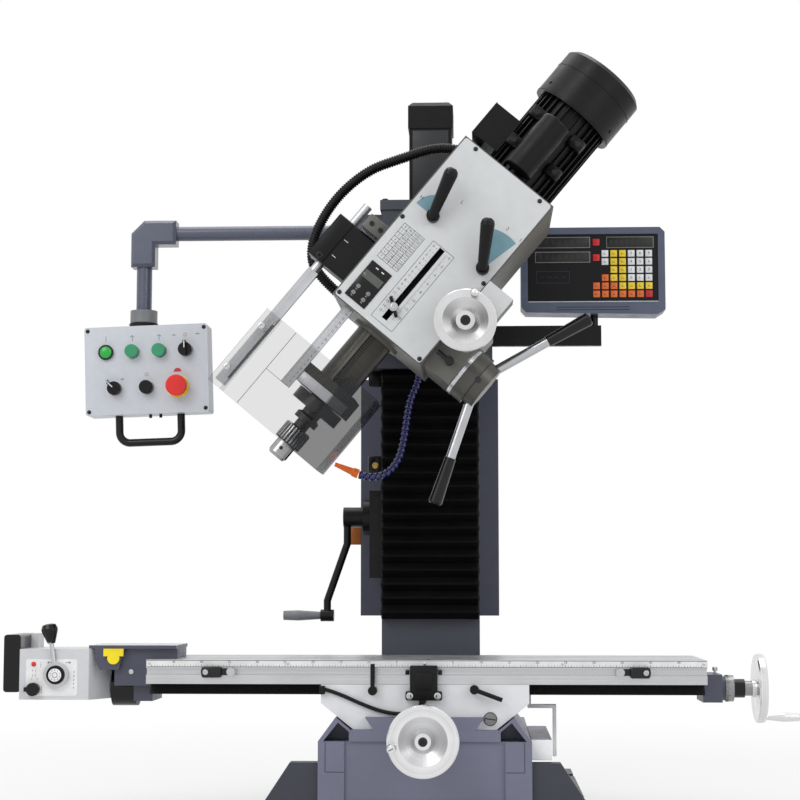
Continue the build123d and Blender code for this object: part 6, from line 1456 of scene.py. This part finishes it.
def ruler_marks():
    for step in range(-98, 99):
        tall = 5.0 if step % 10 == 0 else 4.0 if step % 2 == 0 else 2.6
        yield printed(0.7, tall, at(5 * step, RULER_FACE, RULER_LOW + tall / 2))
    for step in range(-9, 10):
        if step:
            yield numeral(str(abs(step) * 5), 4.4, at(50 * step, RULER_FACE, RULER_HIGH - 3.2))
    for z in (RULER_LOW + 0.4, RULER_HIGH - 0.4):
        yield printed(2 * RULER_HALF, 0.8, at(0, RULER_FACE, z))


piece("table_ruler", "ruler_white", "table", [
    (brick(2 * RULER_HALF, RULER_THICK, RULER_HIGH - RULER_LOW),
     at(0, TABLE_FRONT - RULER_THICK / 2, (RULER_LOW + RULER_HIGH) / 2))], "ground_iron")
piece("ruler_marks", "ink_black", "table", ruler_marks())
piece("table_screws", "screw_steel", "table", [
    *((pan_screw(2.6, 1.2), at(x, RULER_FACE, 283.5) @ FACE_FRONT) for x in (-494, -245, 0, 245, 494)),
    (socket_screw(4.5, 3), at(-536, -220, 266) @ FACE_FRONT),
    *((socket_screw(5, 3), at(x, -283.4, 268.5) @ FACE_FRONT) for x in (-391, 391))], "steel")
piece("dog_bodies", "dark_screw", "table", [
    (brick(36, 13.2, 20, 4), at(x, -276.8, 268.5)) for x in (-381, 381)], "steel")

# %% [markdown]
# ## Power feed
# The feed's front has a white label plate with a lamp and small marks, and its dial has a white face with
# ten numbers. The plate is a thin rounded brick, so that its edge catches light as a real plate's does.

# %% Power feed label, lamp and dial
FEED_FRONT = -235.0
LABEL_FACE, DIAL_FACE = FEED_FRONT - 0.6, FEED_FRONT - 14.0
LABEL_MARKS = ((-699, 279, 11), (-714, 268, 6), (-714, 259.5, 6), (-708.5, 268, 6), (-708.5, 259.5, 6),
               (-715, 253.7, 3), (-705.5, 253.7, 3), (-697, 234, 14))
BEAD = [(0, 3.2), (2.5, 2.8), (4.2, 1.2), (4.5, 0), (0, 0)]
DIAL_X, DIAL_Z, DIAL_R = -670.0, 261.0, 8.8


def label_prints():
    for x, z, tall in LABEL_MARKS:
        for part in (-1, 0, 1):
            yield printed(0.6, tall / 4, at(x, LABEL_FACE, z + part * tall / 3))
        yield printed(2.0, 0.5, at(x, LABEL_FACE, z))
    for side, x in ((-1, -682), (1, -649)):
        yield printed(9.0, 0.8, at(x, LABEL_FACE, 283))
        for lean in (-1, 1):
            yield printed(4.0, 0.8, at(x + side * 3.2, LABEL_FACE, 283 + lean) @ spun(35 * lean * side, "Y"))
    for step in range(5):
        yield printed(1.0, 3.6, at(-638, LABEL_FACE, 266 - 7 * step))


def dial_marks():
    for step in range(10):
        turn = math.radians(90 - 36 * step)
        x, z = DIAL_X + DIAL_R * math.cos(turn), DIAL_Z + DIAL_R * math.sin(turn)
        yield numeral(str(step), 3.4, at(x, DIAL_FACE - 0.6, z))
    yield tube(4.2, 5, INK, 36), at(DIAL_X, DIAL_FACE - 0.6, DIAL_Z) @ FACE_FRONT


label = brick(94, 0.6, 66)
corners = [edge for edge in label.edges if abs((edge.verts[0].co - edge.verts[1].co).normalized().y) > 0.9]
bevelled(label, corners, 4 * MM, 4)
piece("feed_label", "label_white", "table", [(label, at(-679, FEED_FRONT - 0.3, 256))])
piece("feed_label_prints", "ink_grey", "table", label_prints())
piece("feed_lamp", "red_plastic", "table", [(lathe(BEAD, 28), at(-712, LABEL_FACE, 280) @ FACE_FRONT)],
      "red_plastic")
piece("feed_dial_face", "label_white", "feed_dial", [
    (drum(11.8, 0.6, 0.2, 48), at(DIAL_X, DIAL_FACE, DIAL_Z) @ FACE_FRONT)])
piece("feed_dial_marks", "ink_black", "feed_dial", dial_marks())

# %% [markdown]
# ## Dials, switches and the gib screw
# The X screw's dial is ringed with ticks, and a small screw locks it. A switch and a socket on the column's
# left side belong to the power lift. The big slotted screw draws the saddle's gib tight; its slot and the
# ring round its head are dark marks painted as shade. Grooves part the base's front pads, and they are
# dark bars painted as the shade in them.

# %% Dial ticks, dial lock, switch and socket
X_DIAL_PLACE = at(545.3, -150, 235) @ FACE_RIGHT
X_DIAL_MARKS = 60
KNURL = [(0, 0), (2.4, 0), (2.4, 5), (4.8, 5), (4.8, 11), (4, 12), (0, 12)]
SOCKET_RING = [(0, 0.6), (3, 0.6), (3.4, 3.4), (6.2, 3), (6.8, 0), (0, 0)]


def dial_ticks():
    for step, turn in enumerate(turns(X_DIAL_MARKS)):
        tall = 4.5 if step % 5 else 8.0
        yield brick(0.4, 0.5, tall), X_DIAL_PLACE @ turn @ at(24.05, 0, 0.5 + tall / 2)


piece("x_dial_ticks", "ink_black", "x_screw", dial_ticks())
piece("dial_lock", "screw_steel", "table", [(lathe(KNURL, 24), at(528, -150, 261.8))], "steel")
piece("crank_switch", "rust_plastic", "base", [(brick(28, 20, 36.5, 2), at(-166, 320, 525.8))])
piece("column_socket", "gloss_black", "base", [(brick(30, 42, 38, 2), at(-112.6, 167, 664))], "black_plastic")
piece("column_socket_ring", "brass", "base", [(lathe(SOCKET_RING, 28), at(-112.6, 146, 664) @ FACE_FRONT)])

# %% Handwheel screws, gib screw and painted shade of slots and base pad grooves
GIB = at(116, SADDLE_FRONT, 187)
piece("y_wheel_screw", "dark_screw", "y_screw", [
    (socket_screw(8, 4), at(0, -392.3, 156) @ FACE_FRONT)], "steel")
# the handle screw's slot is a dark bar painted as the shade in it
piece("y_handle_painted_slot", "ink_black", "y_screw", [printed(9.0, 1.6, at(-52, -448.1, 147.5) @ spun(-28, "Y"))])
piece("fine_wheel_screw", "dark_screw", "fine_feed", [
    (socket_screw(9.2, 4), HEAD @ at(128, -346, -36) @ FACE_FRONT)], "steel")
piece("gib_screw", "gib_steel", "saddle", [(drum(10.8, 5, 0.9), GIB @ FACE_FRONT)], "steel")
# the gib screw's slot and the ring round its head are painted shade
piece("gib_screw_painted_slot", "ink_black", "saddle", [
    (tube(10.6, 12.2, INK, 40), GIB @ FACE_FRONT),
    (brick(19, 0.3, 2.2), GIB @ at(0, -5.05, 0) @ spun(8, "Y"))])
# the base's pad grooves are dark bars painted as the shade in them
piece("base_pad_shade_marks", "painted_shade_in_grooves", "base", [
    part for side in (-1, 1) for part in (printed(1.6, 52.0, at(176 * side, -290, 121)),
                                          printed(34.0, 1.6, at(159 * side, -290, 94.5)))])

# %% [markdown]
# ## The sides that face away
# A catalogue picture shows only the front, but a part in a library is seen from all round. The cabinet has
# a door on hinges with a lock and air slots, the readout's back has a cover with sockets for the scales,
# and screws hold the caps. All are laid with the same few helpers, turned to face the back.

# %% Cabinet door, cover screws and sockets
CABINET_BACK, READOUT_BACK = 420.0, 235.0
LOCK = [(0, 5), (4, 5), (4, 7), (11, 7), (12, 0), (0, 0)]
SOCKET = [(0, 2), (6, 2), (6, 7), (8.5, 7), (8.5, 0), (0, 0)]
piece("cabinet_door", "cabinet_paint", "base", [(brick(266, 2, 472, 0.8), at(-7, CABINET_BACK + 1, 607.5))],
      "cabinet_paint")
# the air slots are thin dark bars painted as the shade in openings; the two deeper bricks are the hinges
piece("cabinet_painted_slots_and_hinges", "ink_black", "base", [
    *((brick(84, 0.6, 4.5, 0.2), at(-7, CABINET_BACK + 2.3, 800 - 13 * step)) for step in range(7)),
    *((brick(11, 8, 52, 2), at(-143, CABINET_BACK + 4, z)) for z in (460, 755))])
piece("cap_screws", "dark_screw", "base", [
    (lathe(LOCK, 36), at(112, CABINET_BACK + 2, 607) @ FACE_BACK),
    *((socket_screw(6, 5), at(x, y, 1203)) for x in (-92, 92) for y in (122, 292)),
    *((pan_screw(3, 1.6), at(x, y, 1419)) for x in (-32, 32) for y in (168, 232))], "steel")
piece("readout_cover", "readout_case", "dro", [(brick(236, 2, 128, 0.8), at(332, READOUT_BACK + 1, 1076))],
      "readout_case")
piece("readout_sockets", "gloss_black", "dro", [
    (lathe(SOCKET, 28), at(x, READOUT_BACK + 2, 1036) @ FACE_BACK) for x in (292, 332, 372)], "black_plastic")
piece("readout_cover_screws", "screw_steel", "dro", [
    (pan_screw(3.4, 2), at(x, READOUT_BACK + 2, z) @ FACE_BACK) for x in (222, 442) for z in (1020, 1132)
], "steel")
piece("control_box_back_screws", "dark_screw", "control_box", [
    (pan_screw(4.2, 2.2), on_box(x, z, BOX_BACK) @ FACE_BACK) for x in (-104, 124) for z in (-14, -168)
], "steel")

# %% Size and finish
size = {"cad": [list(corner) for corner in cad_box], "visual": [list(corner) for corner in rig.bounds()]}
with open("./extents.json", "w") as out:
    json.dump(size, out)
print("size", size)
